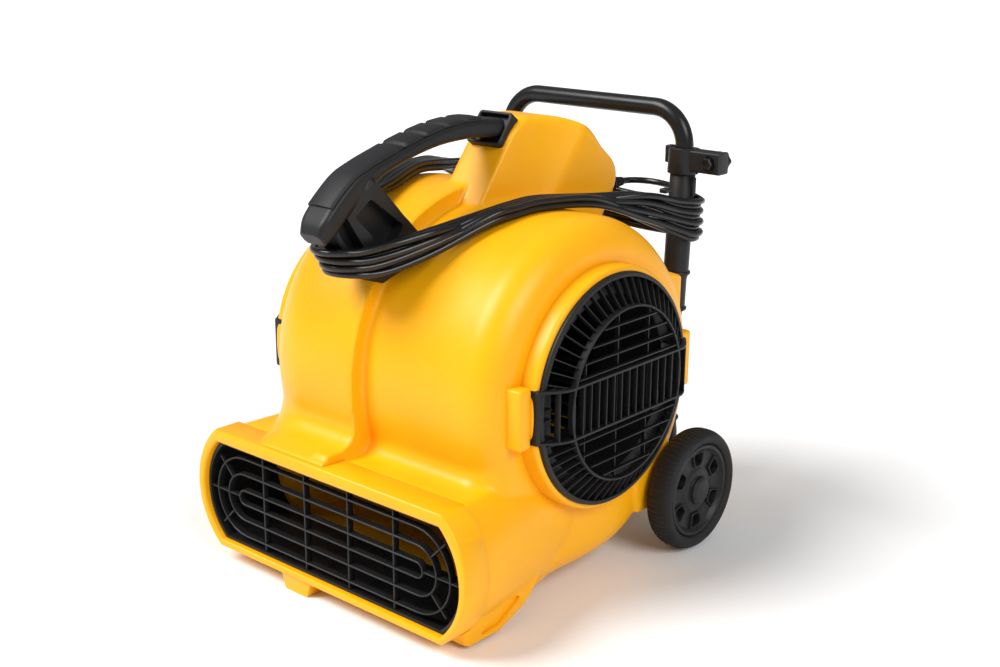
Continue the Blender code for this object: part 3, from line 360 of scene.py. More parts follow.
def post_y(z):
    """Where the leaning legs of the trolley handle are at a height."""
    return POST_TOP_Y - (POST_TOP_Z - z) * math.tan(POST_TILT)


def on_post(item, side):
    item.rotation_euler = (-POST_TILT, 0, 0)
    item.location = (side * POST_X * MM, post_y(0) * MM, 0)
    return item


PLANES = {
    "YZ": Matrix(((0, 0, 1, 0), (1, 0, 0, 0), (0, 1, 0, 0), (0, 0, 0, 1))),
    "XZ": Matrix(((1, 0, 0, 0), (0, 0, -1, 0), (0, 1, 0, 0), (0, 0, 0, 1))),
    "XY": Matrix.Identity(4),
}


def welded(item):
    """A curve as a mesh, its doubled points merged."""
    item = baked(item)
    shape = bmesh.new()
    shape.from_mesh(item.data)
    bmesh.ops.remove_doubles(shape, verts=shape.verts, dist=WELD)
    bpy.data.objects.remove(item, do_unlink=True)
    return from_bmesh(shape)


def prism(outlines, plane, low, high):
    """Extrude an outline, with holes as further outlines, between two coordinates."""
    curve = bpy.data.curves.new("outline", "CURVE")
    curve.dimensions = "2D"
    curve.fill_mode = "BOTH"
    curve.extrude = (high - low) * 0.5 * MM
    for outline in outlines:
        spline = curve.splines.new("POLY")
        spline.points.add(len(outline) - 1)
        for point, (u, v) in zip(spline.points, outline):
            point.co = (u * MM, v * MM, 0, 1)
        spline.use_cyclic_u = True
    item = bpy.data.objects.new("prism", curve)
    middle = (low + high) * 0.5 * MM * (-1 if plane == "XZ" else 1)
    item.matrix_world = PLANES[plane] @ Matrix.Translation((0, 0, middle))
    return welded(item)


def round_curve(name, places, radius, resolution):
    """Round tube along places in metres, as a curve."""
    curve = bpy.data.curves.new(name, "CURVE")
    curve.dimensions = "3D"
    curve.bevel_depth = radius * MM
    curve.bevel_resolution = resolution
    curve.use_fill_caps = True
    spline = curve.splines.new("POLY")
    spline.points.add(len(places) - 1)
    for point, place in zip(spline.points, places):
        point.co = (*place, 1)
    return bpy.data.objects.new(name, curve)


def arc(centre, radius, start, end, count):
    angles = [math.radians(start + (end - start) * i / count) for i in range(count + 1)]
    return [(centre[0] + radius * math.cos(a), centre[1] + radius * math.sin(a)) for a in angles]


def rounded(points, radius, count=5):
    """A closed outline with its corners rounded."""
    outline = []
    total = len(points)
    for i, point in enumerate(points):
        here, before, after = Vector(point), Vector(points[i - 1]), Vector(points[(i + 1) % total])
        back, on = (before - here).normalized(), (after - here).normalized()
        half = back.angle(on) * 0.5
        reach = min(radius / math.tan(half), (before - here).length * 0.48, (after - here).length * 0.48)
        start, end = here + back * reach, here + on * reach
        for k in range(count + 1):
            t = k / count
            outline.append(tuple(start * (1 - t) ** 2 + here * 2 * t * (1 - t) + end * t * t))
    return outline


def between(outer, inner, share):
    """The outline that lies part of the way from one outline to another."""
    return [(a[0] + (b[0] - a[0]) * share, a[1] + (b[1] - a[1]) * share) for a, b in zip(outer, inner)]


def smooth_route(points, spacing):
    """Evenly spaced points on a smooth curve through the given ones, FINE steps to each."""
    route = [Vector(point) for point in points]
    route = [route[0] * 2 - route[1]] + route + [route[-1] * 2 - route[-2]]
    dense = []
    for a, b, c, d in zip(route, route[1:], route[2:], route[3:]):
        for i in range(FINE):
            t = i / FINE
            dense.append(0.5 * (2 * b + (c - a) * t + (2 * a - 5 * b + 4 * c - d) * t * t
                                + (3 * b - a - 3 * c + d) * t ** 3))
    dense.append(route[-2])
    lengths = [0]
    for first, second in zip(dense, dense[1:]):
        lengths.append(lengths[-1] + (second - first).length)
    count = max(2, round(lengths[-1] / spacing))
    result = []
    k = 0
    for i in range(count + 1):
        target = lengths[-1] * i / count
        while k < len(lengths) - 2 and lengths[k + 1] < target:
            k += 1
        part = (target - lengths[k]) / (lengths[k + 1] - lengths[k])
        result.append(dense[k].lerp(dense[k + 1], min(1, part)))
    return result


def smoothstep(value):
    value = min(1, max(0, value))
    return value * value * (3 - 2 * value)


def span(side, near, far):
    return (side * near, side * far) if side > 0 else (side * far, side * near)


def side_box(side, near, far, y_span, z_span):
    x_low, x_high = span(side, near, far)
    return box((x_low, y_span[0], z_span[0]), (x_high, y_span[1], z_span[1]))


def side_prism(side, outline, near, far):
    x_low, x_high = span(side, near, far)
    return prism([outline], "YZ", x_low, x_high)


# ---------------------------------------------------------------- camera, light and floor

CAMERA_PLACE, LENS, SENSOR = (1.0900, -1.1874, 0.7454), 50.65, 36
CAMERA_TURN, CAMERA_DOWN, CAMERA_ROLL = 41.28, 16.53, 0.37
SKY = 0.28
SUNS = (("key", (-0.50, -0.70, 0.95), 32, 3.4), ("fill", (0.95, -0.2, 0.75), 30, 1.6))
FLOOR_SIZE = 40


def studio():
    """Camera at the photo's angle, a pale floor and soft light."""
    camera = bpy.data.cameras.new("camera")
    camera.lens = LENS
    camera.sensor_width = SENSOR
    eye = link(bpy.data.objects.new("camera", camera))
    eye.matrix_world = (SHIFT @ Matrix.Translation(CAMERA_PLACE)
                        @ Matrix.Rotation(math.radians(CAMERA_TURN), 4, "Z")
                        @ Matrix.Rotation(math.radians(90 - CAMERA_DOWN), 4, "X")
                        @ Matrix.Rotation(math.radians(CAMERA_ROLL), 4, "Z"))
    bpy.context.scene.camera = eye
    bpy.context.scene.view_settings.view_transform = "Standard"

    world = bpy.data.worlds.new("studio")
    world.use_nodes = True
    sky = world.node_tree.nodes["Background"]
    sky.inputs["Color"].default_value = (1, 1, 1, 1)
    sky.inputs["Strength"].default_value = SKY
    bpy.context.scene.world = world

    for name, away, spread, power in SUNS:
        lamp = bpy.data.lights.new(name, "SUN")
        lamp.angle = math.radians(spread)
        lamp.energy = power
        light = link(bpy.data.objects.new(name, lamp))
        light.location = Vector(away) * 2
        light.rotation_euler = (-Vector(away)).to_track_quat("-Z", "Y").to_euler()

    shape = bmesh.new()
    bmesh.ops.create_grid(shape, x_segments=1, y_segments=1, size=FLOOR_SIZE)
    floor = from_bmesh(shape)
    floor.name = "floor"
    paint = material("pale_floor", (0.90, 0.90, 0.90), (0.93, 0.93, 0.93), 0.7, 300, 0.02, patch=1.5)
    floor.data.materials.append(paint)


# ---------------------------------------------------------------- cord

# One side of the coil: places on its middle line, and how tall the bundle is there
COIL_SIDE = (((8, -218, 393), 34), ((23, -208, 393), 34), ((32, -190, 393), 34), ((43, -160, 398), 34),
             ((60, -120, 410), 30), ((78, -60, 432), 24), ((88, -25, 438.5), 22), ((98, 11, 442), 22),
             ((118, 80, 437), 25), ((137, 150, 418), 36), ((153, 200, 400), 48), ((160.5, 220, 394), 54),
             ((161, 232, 392.5), 54), ((155, 245, 392), 54), ((140, 250, 392), 54), ((60, 250, 392), 54))
COIL_LEAN = 0.65                           # the front of the coil leans as the strut does
# how much higher the left side of the coil lies, place by place
LEFT_LIFT = (0, 0, 3, 10, 17, 20, 20, 19, 16, 8, 0, 0, 0, 0, 0, 0)
LEAD = ((46, 226.3, 426), (46, 233, 426), (47.5, 242, 425.9), (53, 251, 425.7), (63, 258, 425.4),
        (78, 261, 425), (96, 258.5, 424.6), (112, 253, 424.2), (124, 250, 422.5))
TAIL = ((-70, 250, 360), (-52, 250, 358.5), (-34, 250, 351), (-23, 250, 338), (-20, 250, 326),
        (-20, 250, 318.5))


def turn_point(k, centre, height, outward, share):
    """Where turn k runs: in one column on the posts, two at the strut, four over the scroll."""
    gather = smoothstep((50 - height) / 12)
    flat = smoothstep((31 - height) / 6)
    tall = height - 2 * CORD_R
    pitch = tall / (TURNS - 1)
    row = max(5.9, tall / 3)
    up = (3.5 - k) * pitch * (1 - gather) + (1.5 - k // 2) * row * gather
    out = (2 if k % 2 else -2) * (1 - gather) + (3.9 if k % 2 else -3.9) * gather
    up += (1 * math.sin(6 * share * math.pi + 1.9 * k)) * gather
    out += 0.5 * math.cos(5 * share * math.pi + 2.3 * k)
    up = up * (1 - flat) + ((3.3 if k % 2 else -3.3) - 4.6) * flat
    out = out * (1 - flat) + (1.5 - k // 2) * 6.8 * flat
    lean = -COIL_LEAN * up * smoothstep((-centre[1] - 165) / 25)
    return Vector(centre) + Vector((outward[0] * out, outward[1] * out + lean, up))


def cord_route():
    """Lead from the gland, eight turns round the strut and both posts, and the tail to the plug."""
    right = list(reversed(COIL_SIDE))
    left = [((-x, y, z + lift), height) for ((x, y, z), height), lift in zip(COIL_SIDE, LEFT_LIFT)]
    loop = right + left
    count = len(loop)
    route = list(LEAD)
    for k in range(TURNS):
        for i, (centre, height) in enumerate(loop):
            before, after = Vector(loop[i - 1][0]), Vector(loop[(i + 1) % count][0])
            tangent = (after - before).normalized()
            outward = Vector((tangent.y, -tangent.x, 0)).normalized()
            joins_lead = k == 0 and i < 2
            joins_tail = k == TURNS - 1 and i == count - 1
            if not joins_lead and not joins_tail:
                route.append(turn_point(k, centre, height, outward, i / count))
    return route + list(TAIL)


def make_cord():
    route = smooth_route(cord_route(), CORD_STEP)
    length = sum((b - a).length for a, b in zip(route, route[1:])) * MM
    flex = link(round_curve("power_cord", [SHIFT @ (place * MM) for place in route], CORD_R, 3))
    flex.data.splines[0].use_smooth = True
    flex.data.materials.append(LOOKS["cord_pvc"])
    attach(flex, "base")
    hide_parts("cord_coil", "cord_lead", "cord_tail")
    print("cord length", round(length, 3))
    return flex, length


def plug_ribs(i, r, h):
    """Grip ribs round the widest part of the plug."""
    return r - (0.7 if h < 290 and r > 15.5 and i % 4 < 2 else 0)


def make_plug():
    """Round moulded plug with a grooved neck, a flat face and two pins."""
    neck = [(0, 320), (5.4, 320), (5.8, 319)]
    for i in range(4):
        z, wide = 316 - 4 * i, 0.4 * i
        neck += [(6 + wide, z + 1), (5.2 + wide, z), (5.2 + wide, z - 1), (6.2 + wide, z - 2)]
    body = [(8.5, 299), (11.5, 296), (14.6, 292.5), (16, 289), (16.2, 284), (16, 272.5),
            (15, 269.4), (13.2, 268.2), (0, 268.2)]
    plug = turned(neck + body, 48, radial=plug_ribs)
    plug.location = (PLUG_X * MM, PLUG_Y * MM, 0)
    pins, sleeves = [], []
    for x in (PLUG_X - PIN_APART, PLUG_X + PIN_APART):
        pins.append(rod((x, PLUG_Y, 268), (x, PLUG_Y, 250.4), 2.4, 24))
        sleeves.append(rod((x, PLUG_Y, 269), (x, PLUG_Y, 259), 2.6, 24))
    return [piece(plug, "plug_body", "plug"),
            piece(together(*pins), "plug_pins", slot="steel"),
            piece(together(*sleeves), "plug_pin_sleeves")]


def make_strain_relief():
    """Ribbed boot that tapers from the panel to the cord."""
    profile = [(CORD_R + 0.05, 232.5), (5.3, 232.5)]
    for i in range(5):
        y = 230 - 3.4 * i
        wide = 5.6 + 0.45 * i
        profile += [(wide, y + 1.3), (wide, y), (wide - 1.1, y - 0.5), (wide - 1.1, y - 1.6)]
    profile += [(8.6, 212.5), (8.6, 209.4), (CORD_R + 0.05, 209.4)]
    boot = along_y(turned(profile, 40, closed=True), GLAND_X, 0, GLAND_Z)
    return piece(boot, "cord_strain_relief", "strain_relief")


def make_clip():
    clip = bevelled(box((142, 177, 431), (152, 189, 436.5)), 1.4)
    return piece(clip, "cord_keeper", "cord_clip")


# ---------------------------------------------------------------- scroll housing

def scroll_radius(side, angle):
    """Radius of the scroll; the angle is in degrees, from the outlet side over the top."""
    share = min(1, max(0, (angle - SCROLL_FROM) / (SCROLL_TO - SCROLL_FROM)))
    radius = SCROLL_R + SCROLL_GROWTH * share ** 1.9
    if side < 0:
        radius += LEFT_STEP * (1 - smoothstep((angle - 110) / 60))
    return radius


def scroll_outline(side, steps):
    """Side outline of one half as (y, z, share of the shoulder drop)."""
    fillet = ROOF_FILLET[side]
    top = SCROLL_R + (LEFT_STEP if side < 0 else 0)
    centre_z = ROOF[side] + fillet
    centre_y = FAN_Y - math.sqrt((top + fillet) ** 2 - (FAN_Z - centre_z) ** 2)
    touch = -math.degrees(math.asin((FAN_Z - centre_z) / (top + fillet)))
    low_share = 1 if side > 0 else 0.4        # the left half's shoulder fades out below
    points = [(ROOF_FRONT[side], ROOF[side] - (7.5 if side < 0 else 0), 1)]
    if side < 0:
        points.append((-212, ROOF[side], 1))
    fillet_arc = arc((centre_y, centre_z), fillet, -90, -touch, 8)
    points += [(y, z, 1) for y, z in fillet_arc[:-1]]
    for i in range(steps + 1):
        angle = touch + (SCROLL_END - touch) * i / steps
        radius = scroll_radius(side, angle)
        turn = math.radians(angle)
        fall = smoothstep((angle - 130) / 70)
        share = low_share + (1 - low_share) * (1 - fall)
        points.append((FAN_Y - radius * math.cos(turn), FAN_Z + radius * math.sin(turn), share))
    points += [(-70, FLOOR_Z - 1.5, low_share), (-150, FLOOR_Z, low_share)]
    points.append((ROOF_FRONT[side], FLOOR_Z, low_share))
    return points


def scroll_body(side, inset, seam_x, steps=96, across=12):
    """One half of the scroll from the seam to its flat side, its shoulder rounded."""
    outline = scroll_outline(side, steps)
    flat = [Vector((y, z)) for y, z, _ in outline]
    count = len(flat)
    inward = []
    for i, point in enumerate(flat):
        before = (point - flat[i - 1]).normalized()
        after = (flat[(i + 1) % count] - point).normalized()
        tangent = (before + after).normalized()
        stretch = min(1.6, 1 / max(0.3, tangent.dot(before)))
        inward.append(Vector((tangent.y, -tangent.x)) * stretch)
    inward[0] = Vector((0, -1))
    inward[-1] = Vector((0, 1))
    start, drop = SHOULDER_X[side], SHOULDER_DROP[side]
    reach = SIDE_X - start - inset
    stations = [(seam_x, 0)]
    for i in range(across + 1):
        turn = math.pi / 2 * i / across
        stations.append((start + reach * math.sin(turn), (drop - inset) * (1 - math.cos(turn))))
    rings = []
    for x, sink in stations:
        ring = []
        for point, normal, (_, _, share) in zip(flat, inward, outline):
            place = point + normal * (inset + sink * share)
            ring.append((side * x, place.x, place.y))
        for end in (0, -1):
            ring[end] = (side * x, ROOF_FRONT[side] + inset, ring[end][2])
        rings.append(ring)
    return loft(rings)


def upright(outline, y):
    """An (x, z) outline as a ring of points that stands at y."""
    return [(x, y, z) for x, z in outline]


def racetrack(corner_x, low, high, bulge_x, count=20):
    """Outline with level top and bottom and bulging sides."""
    half = (high - low) * 0.5
    middle = (high + low) * 0.5
    sagitta = bulge_x - corner_x
    radius = (half * half + sagitta * sagitta) / (2 * sagitta)
    spread = math.degrees(math.asin(half / radius))
    right = arc((bulge_x - radius, middle), radius, spread, -spread, count)
    return right + [(-x, z) for x, z in reversed(right)]


def duct_body(inset, front):
    """The duct from the collar into the scroll, as places with corner, bulge and lift of the floor."""
    stations = ((front, 180, DUCT_SIDE, 0), (-175, 178, 212, 0), (-120, 174, 203, 0),
                (-70, 170, 193, 0), (-15, 158, 183, 4),
                (40 - 2 * inset, 110, 160, 22))
    low, high = FLOOR_Z + 0.3, ROOF[1] - 0.5 - inset
    rings = []
    for y, corner, bulge, lift in stations:
        rings.append(upright(racetrack(corner - inset, low + lift + inset, high, bulge - inset), y))
    return loft(rings)


def sleeve_room(side, radius, low, high):
    """Space for the trolley leg, its sleeve or its socket."""
    return on_post(turned([(0, high), (radius, high), (radius, low), (0, low)], 48), side)


def inlet_ring(side):
    """Raised seat round the inlet, rounded on its outer edge."""
    r, x, foot = RING_R, RING_TOP_X, SIDE_X - 16
    profile = [(r - 4.6, x), (r - 2.6, x - 0.6), (r - 1.2, x - 2.2), (r - 0.4, x - 5), (r + 1, foot),
               (INLET_R, foot), (INLET_R, x)]
    return along_x(turned(profile, 128, closed=True), side, FAN_Y, FAN_Z)


def band_boss(side, front):
    y_in = BAND_HALF_L + GAP * 2
    y_out = y_in + BOSS_LONG
    ys = (FAN_Y - y_out, FAN_Y - y_in) if front else (FAN_Y + y_in, FAN_Y + y_out)
    return side_box(side, 160, 203.5, ys, (FAN_Z - BOSS_HALF_H, FAN_Z + BOSS_HALF_H))


def axle_plate(side):
    """Bracket that carries the axle."""
    outline = [(80, 150), (92, 60)]
    outline += arc((WHEEL_Y, WHEEL_Z), 17, -100, 70, 12)
    outline += [(150, 140)]
    return side_prism(side, outline, 172, 189)


def foot_rail(side):
    outline = [(-214, 60), (-214, 7), (-203, 3.3), (-158, 4.5), (-118, 20),
               (-97, 38), (-84, 70)]
    return side_prism(side, outline, 152, 190)


def rail_recess(side):
    """Shallow three-cornered hollow in the outer face of a foot rail."""
    outline = rounded([(-196, 10), (-160, 13), (-122, 34), (-150, 40)], 4)
    return side_prism(side, outline, 186, 200)


def post_boss(side):
    outline = [(150, 300), (188, 335), (213, 326), (213, 258), (170, 235)]
    return side_prism(side, outline, 121, 156.5)


def socket_arm(side):
    return side_box(side, 128, 150, (140, 207), (84, 122))


def collar_room():
    """Space that the outlet collar takes out of the shells."""
    corner, low, high, bulge = COLLAR_OUTER
    outline = racetrack(corner + GAP, low - GAP, high + GAP, bulge + GAP)
    return loft([upright(outline, COLLAR_FRONT - 8), upright(outline, COLLAR_BACK + GAP * 0.5)])


def box_half_width(s):
    share = min(1, max(0, (s - NOSE_S) / (CREASE_S - NOSE_S)))
    return NOSE_HALF + (BOX_HALF - NOSE_HALF) * share ** 1.7


def box_top(s):
    """Height of the box's top at s, the place along it, smoothed between its knots."""
    knots = [(-21, 506), (-17, 517), (-9, 522.5), (25, 521), (52, 517), (80, 509),
             (104, 499), (134, 480), (183, 456), (204, 435), (221, 396)]

    def level(place):
        for (s0, z0), (s1, z1) in zip(knots, knots[1:]):
            if place <= s1:
                return z0 + (z1 - z0) * (place - s0) / (s1 - s0)
        return knots[-1][1]

    reach = 5 * smoothstep(s / 30) * smoothstep((221 - s) / 20)
    return sum(level(s + reach * i) for i in range(-3, 4)) / 7


def box_solid(inset, top_z=None, low_z=330):
    """The electrical box, whose cross sections lean forwards; a negative inset makes it larger."""
    rings = []
    stations = [-21, -19.5, -17, -13, -9, -4] + [i * 6 for i in range(36)] + [213, BOX_END_S]
    for s in stations:
        half = box_half_width(s) - inset
        end = smoothstep((s - 183) / 45)
        half -= 16 * end * end
        place = min(max(s, NOSE_S + inset), BOX_END_S - inset) if inset >= 0 else s
        top = box_top(place) - inset if top_z is None else top_z
        right = arc((half - BOX_CORNER, top - BOX_CORNER), BOX_CORNER, 0, 90, 6)
        section = [(half, low_z)] + right + [(-x, z) for x, z in reversed(right)] + [(-half, low_z)]
        if inset < 0:
            place = s + (inset if s < 90 else -inset) * (abs(s - 103) > 112)
        rings.append([(x, place + BOX_LEAN * (z - BOX_BASE_Z), z) for x, z in section])
    return loft(rings)


def make_housing():
    """Both shells and the electrical box from one moulded skin, parted at the seams."""
    solids = [scroll_body(1, 0, -10), scroll_body(-1, 0, 0), duct_body(0, COLLAR_BACK + GAP)]
    solids.append(box_solid(0))
    for side in (1, -1):
        solids += [axle_plate(side), foot_rail(side), post_boss(side), socket_arm(side)]
    solids.append(box((-24, -232, 150), (0, -206, 177)))
    skin = moulded(together(*solids), *HOUSING_SKIN)

    region = cut(box_solid(-7, top_z=560), scroll_body(1, -0.15, -30), scroll_body(-1, -0.15, 0))
    lid = combined(copied(skin), "INTERSECT", [copied(region)])
    shells = cut(skin, region)
    crisp = [inlet_ring(1), inlet_ring(-1)]
    bosses = (band_boss(1, True), band_boss(1, False), band_boss(-1, False))
    shells = join(shells, *crisp, *[bevelled(boss, 4, 4) for boss in bosses])
    lid = cut(lid, box_solid(WALL), box((-42, 205.5, 413), (42, 240, 457)),
              box((-36, 190, 419), (36, 230, 451)),
              rod((GLAND_X, 190, GLAND_Z), (GLAND_X, 230, GLAND_Z), 5.3))
    piece(lid, "electrical_box_shell", "control_box", slot="yellow_plastic", sharp=SHELL_SHARP)

    seat = GUARD_R + 0.5
    throat = INLET_R - 4
    hole = [(0, 230), (seat, 230), (seat, RING_X), (throat, RING_X), (throat, 150), (0, 150)]
    shells = cut(shells, scroll_body(1, WALL, -20), scroll_body(-1, WALL, 4),
                 duct_body(WALL, COLLAR_BACK - 20))
    around = SLEEVE_R + 2.6 + GAP
    half_l, half_h = BAND_HALF_L + 0.5, BAND_HALF_H + 0.5
    cutters = [collar_room()]
    for side in (1, -1):
        cutters += [along_x(turned(hole, 128), side, FAN_Y, FAN_Z),
                    side_box(side, RING_X, 230, (FAN_Y - half_l, FAN_Y + half_l),
                             (FAN_Z - half_h, FAN_Z + half_h)),
                    sleeve_room(side, around, SLEEVE_LOW - 6, SLEEVE_LOW + 70),
                    sleeve_room(side, TUBE_R + 1, SLEEVE_LOW - 80, SLEEVE_LOW),
                    sleeve_room(side, around, SOCKET_LOW - 6, SOCKET_HIGH + 6),
                    rail_recess(side),
                    rod((side * 160, WHEEL_Y, WHEEL_Z), (side * 200, WHEEL_Y, WHEEL_Z), AXLE_R + GAP),
                    side_box(side, 163.5, 184, (-194, -164), (-5, 9 + GAP))]
    shells = cut(shells, *cutters)
    far = 300
    seam = 0.04
    right = cut(copied(shells), box((-far, -far, -far), (SEAM_X + seam, far, 600)))
    left = cut(shells, box((SEAM_X - seam, -far, -far), (far, far, 600)))
    for side, shell in ((1, right), (-1, left)):
        name = NAMES[side]
        piece(shell, f"housing_shell_{name}", f"housing_{name}", slot="yellow_plastic", sharp=SHELL_SHARP)


# ---------------------------------------------------------------- outlet

def blended_track(share, extra):
    """Outline between the collar's inner (0) and outer (1) faces, moved out by extra."""
    mix = [inner + (outer - inner) * share for inner, outer in zip(COLLAR_INNER, COLLAR_OUTER)]
    return racetrack(mix[0] + extra, mix[1] - extra, mix[2] + extra, mix[3] + extra, 28)


def make_collar():
    profile = [(1, -0.9, COLLAR_BACK), (1, 0, COLLAR_BACK - 1.2), (1, 0, COLLAR_FRONT + 3.6),
               (1, -0.5, COLLAR_FRONT + 1.7), (1, -1.6, COLLAR_FRONT + 0.5), (1, -2.8, COLLAR_FRONT),
               (0, 2.6, COLLAR_FRONT), (0, 1.2, COLLAR_FRONT + 0.6), (0, 0.3, COLLAR_FRONT + 1.9),
               (0, 0, COLLAR_FRONT + 4), (0, -0.4, COLLAR_BACK - 14), (0, -0.6, COLLAR_BACK)]
    collar = loft([upright(blended_track(share, extra), y) for share, extra, y in profile], closed=True)
    skid = prism([rounded([(-75, 26), (-66, 0), (-30, 0), (-21, 26)], 3)], "XZ",
                 COLLAR_FRONT + 3, COLLAR_FRONT + 24)
    collar = join(collar, bevelled(skid, 1.2, 2), solver="EXACT")
    piece(collar, "outlet_collar_shell", "outlet_collar", slot="yellow_plastic", sharp=SHELL_SHARP)


def loop_outline(half, count=14):
    middle = (COLLAR_INNER[1] + COLLAR_INNER[2]) * 0.5
    right = arc((141, middle), half, 90, -90, count)
    return right + [(-x, z) for x, z in reversed(right)]


def bar_ring(outer, inner, front, back, corner=0.6):
    """A flat band between two outlines, its front edges rounded."""
    rows = ((0, back), (0, front + corner), (0.25, front), (0.75, front), (1, front + corner), (1, back))
    return loft([upright(between(outer, inner, share), y) for share, y in rows], closed=True)


def make_outlet_grille():
    """Racetrack loops on four uprights, tied to the frame by stubs and slanting spokes."""
    low, high = GRILLE_FRONT, GRILLE_FRONT + GRILLE_DEPTH
    middle = (COLLAR_INNER[1] + COLLAR_INNER[2]) * 0.5
    bars = [bar_ring(blended_track(0, -0.9), blended_track(0, -4.2), low, high)]
    for half in (50, 30, 10):
        bars.append(bar_ring(loop_outline(half), loop_outline(half - 2.1), low + 0.4, high - 1))
    for x in (-106.5, -35.5, 35.5, 106.5):
        bar = box((x - 1.1, low + 1.6, COLLAR_INNER[1] + 2), (x + 1.1, high - 0.4, COLLAR_INNER[2] - 2))
        bars.append(bevelled(bar, 0.4, 2))
    for side in (1, -1):
        stub = side_box(side, 149.5, 203.5, (low + 1.2, high - 1.6), (middle - 1, middle + 1))
        bars.append(bevelled(stub, 0.4, 2))
        for turn in (45, -45):
            place = (Matrix.Translation((side * 141 * MM, 0, middle * MM))
                     @ Matrix.Rotation(math.radians(-turn if side > 0 else turn + 180), 4, "Y"))
            spoke = boxes([((29, low + 1.2, -1), (60, high - 1.6, 1))], place)
            bars.append(bevelled(spoke, 0.4, 2))
    piece(together(*bars), "outlet_grille_bars", "outlet_grille")


def make_painted_duct_shade():
    """Black sleeve that lines the duct behind the grille: painted shade, a dark sheet where the real yellow
    duct lies only in shade.
    """
    rings = []
    for extra, y in ((-1.2, DUCT_SHADE_FRONT), (-2.6, DUCT_SHADE_BACK), (-4.2, DUCT_SHADE_BACK), (-3, DUCT_SHADE_FRONT)):
        sink = 4.5 * smoothstep((y - COLLAR_BACK) / 60)
        rings.append(upright(blended_track(0, extra - sink), y))
    piece(loft(rings, closed=True), "outlet_liner")


# ---------------------------------------------------------------- inlet guards

def band_x(y):
    """How far the band stands out at a place along it."""
    share = min(1, max(0, (BAND_HALF_L - abs(y - FAN_Y)) / BAND_RISE))
    return BAND_END_X + (GUARD_TOP_X - BAND_END_X) * math.sin(math.pi / 2 * share)


def ring_body(profile, side, steps=168):
    """A profile turned round the fan's axis."""
    return along_x(turned(profile, steps, closed=True), side, FAN_Y, FAN_Z)


def guard_slats(side):
    """Thin blades that slope from the rim up to the inner ring."""
    low_r, low_x = GUARD_R - 2, GUARD_RIM_X - 2.6
    high_r, high_x = GUARD_INNER_R + 0.4, GUARD_TOP_X - 1.4
    slope = Vector((high_x - low_x, high_r - low_r))
    along = slope.normalized()
    shape = bmesh.new()
    for i in range(SLATS):
        angle = 2 * math.pi * (i + 0.5) / SLATS
        way = Vector((0, math.cos(angle), math.sin(angle)))
        if abs(way.z * (low_r + high_r) * 0.5) < BAND_HALF_H - 4:
            continue
        run = Vector((along.x * side, way.y * along.y, way.z * along.y))
        across = way.cross(Vector((1, 0, 0))).normalized()
        deep = run.cross(across).normalized()
        if deep.x * side > 0:
            deep.negate()
        middle = Vector(((low_x + high_x) * 0.5 * side, FAN_Y + way.y * (low_r + high_r) * 0.5,
                         FAN_Z + way.z * (low_r + high_r) * 0.5)) + deep * (SLAT_DEEP / 2)
        axes = Matrix((run, across, deep)).transposed().to_4x4()
        size = Matrix.Diagonal(((slope.length + 1) * MM, SLAT_WIDE * MM, SLAT_DEEP * MM, 1))
        bmesh.ops.create_cube(shape, size=1, matrix=Matrix.Translation(middle * MM) @ axes @ size)
    return from_bmesh(shape)


def chord(away):
    """Half the length of a bar across the inner ring, away from its middle."""
    return math.sqrt((GUARD_INNER_R - 3) ** 2 - away ** 2)


def level_bars(side):
    heights = [277.4 + 15.6 * i for i in range(4)] + [205.4 - 16 * i for i in range(4)]
    x_low, x_high = span(side, GUARD_TOP_X - 5.4, GUARD_TOP_X - 0.6)
    spans = []
    for z in heights:
        half = chord(z - FAN_Z)
        spans.append(((x_low, FAN_Y - half, z - BAR_HALF), (x_high, FAN_Y + half, z + BAR_HALF)))
    return boxes(spans)


def upright_ribs(side):
    x_low, x_high = span(side, GUARD_TOP_X - 10, GUARD_TOP_X - 5)
    spans = []
    for y in (-62, -6, 50, 100):
        half = chord(y - FAN_Y)
        spans.append(((x_low, y - BAR_HALF, FAN_Z - half), (x_high, y + BAR_HALF, FAN_Z + half)))
    return boxes(spans)


def band_strip(side, z_low, z_high):
    """Lengthwise strip that follows the band's profile."""
    steps, depth = 8, 8
    left, right = FAN_Y - BAND_HALF_L, FAN_Y + BAND_HALF_L
    ys = [left + BAND_RISE * i / steps for i in range(steps + 1)]
    ys += [right - BAND_RISE * (steps - i) / steps for i in range(steps + 1)]
    outer = [(side * band_x(y), y) for y in ys]
    inner = [(side * (band_x(y) - depth), y) for y in reversed(ys)]
    return prism([outer + inner], "XY", z_low, z_high)


def band_frame(side):
    """The band across the guard: two rails, its end caps and the cross bars between the rails."""
    low, high = FAN_Z - BAND_HALF_H, FAN_Z + BAND_HALF_H
    parts = [bevelled(band_strip(side, high - 3, high), 0.7, 2),
             bevelled(band_strip(side, low, low + 3), 0.7, 2)]
    foot = RING_X + GAP
    for way in (-1, 1):
        end = FAN_Y + way * BAND_HALF_L
        cap = sorted((end, end - way * 9))
        parts.append(bevelled(side_box(side, foot, BAND_END_X + 3.6, cap, (low - 0.6, high + 0.6)), 3.2, 4))
        skirt = sorted((end - way * 4, end - way * 30))
        for z in (low + 0.6, high - 2.6):
            parts.append(side_box(side, foot, BAND_END_X + 4, skirt, (z, z + 2)))
        rib = sorted((end - way * 6, end - way * 24))
        for z in (FAN_Z + 5, FAN_Z - 6.5):
            parts.append(side_box(side, BAND_END_X - 6, BAND_END_X + 2.6, rib, (z, z + 1.6)))
        base = sorted((end - way * 3, end - way * 36))
        parts.append(side_box(side, foot, foot + 2.6, base, (low + 1, high - 1)))
    spans = []
    places = [13.5 * i for i in range(-6, 7)] + [-115, -96, 96, 115]
    for y in [FAN_Y + place for place in places]:
        x_low, x_high = span(side, band_x(y) - 8, band_x(y) - 0.5)
        spans.append(((x_low, y - BAR_HALF, low + 1), (x_high, y + BAR_HALF, high - 1)))
    parts.append(bevelled(boxes(spans), 0.35, 2))
    return parts


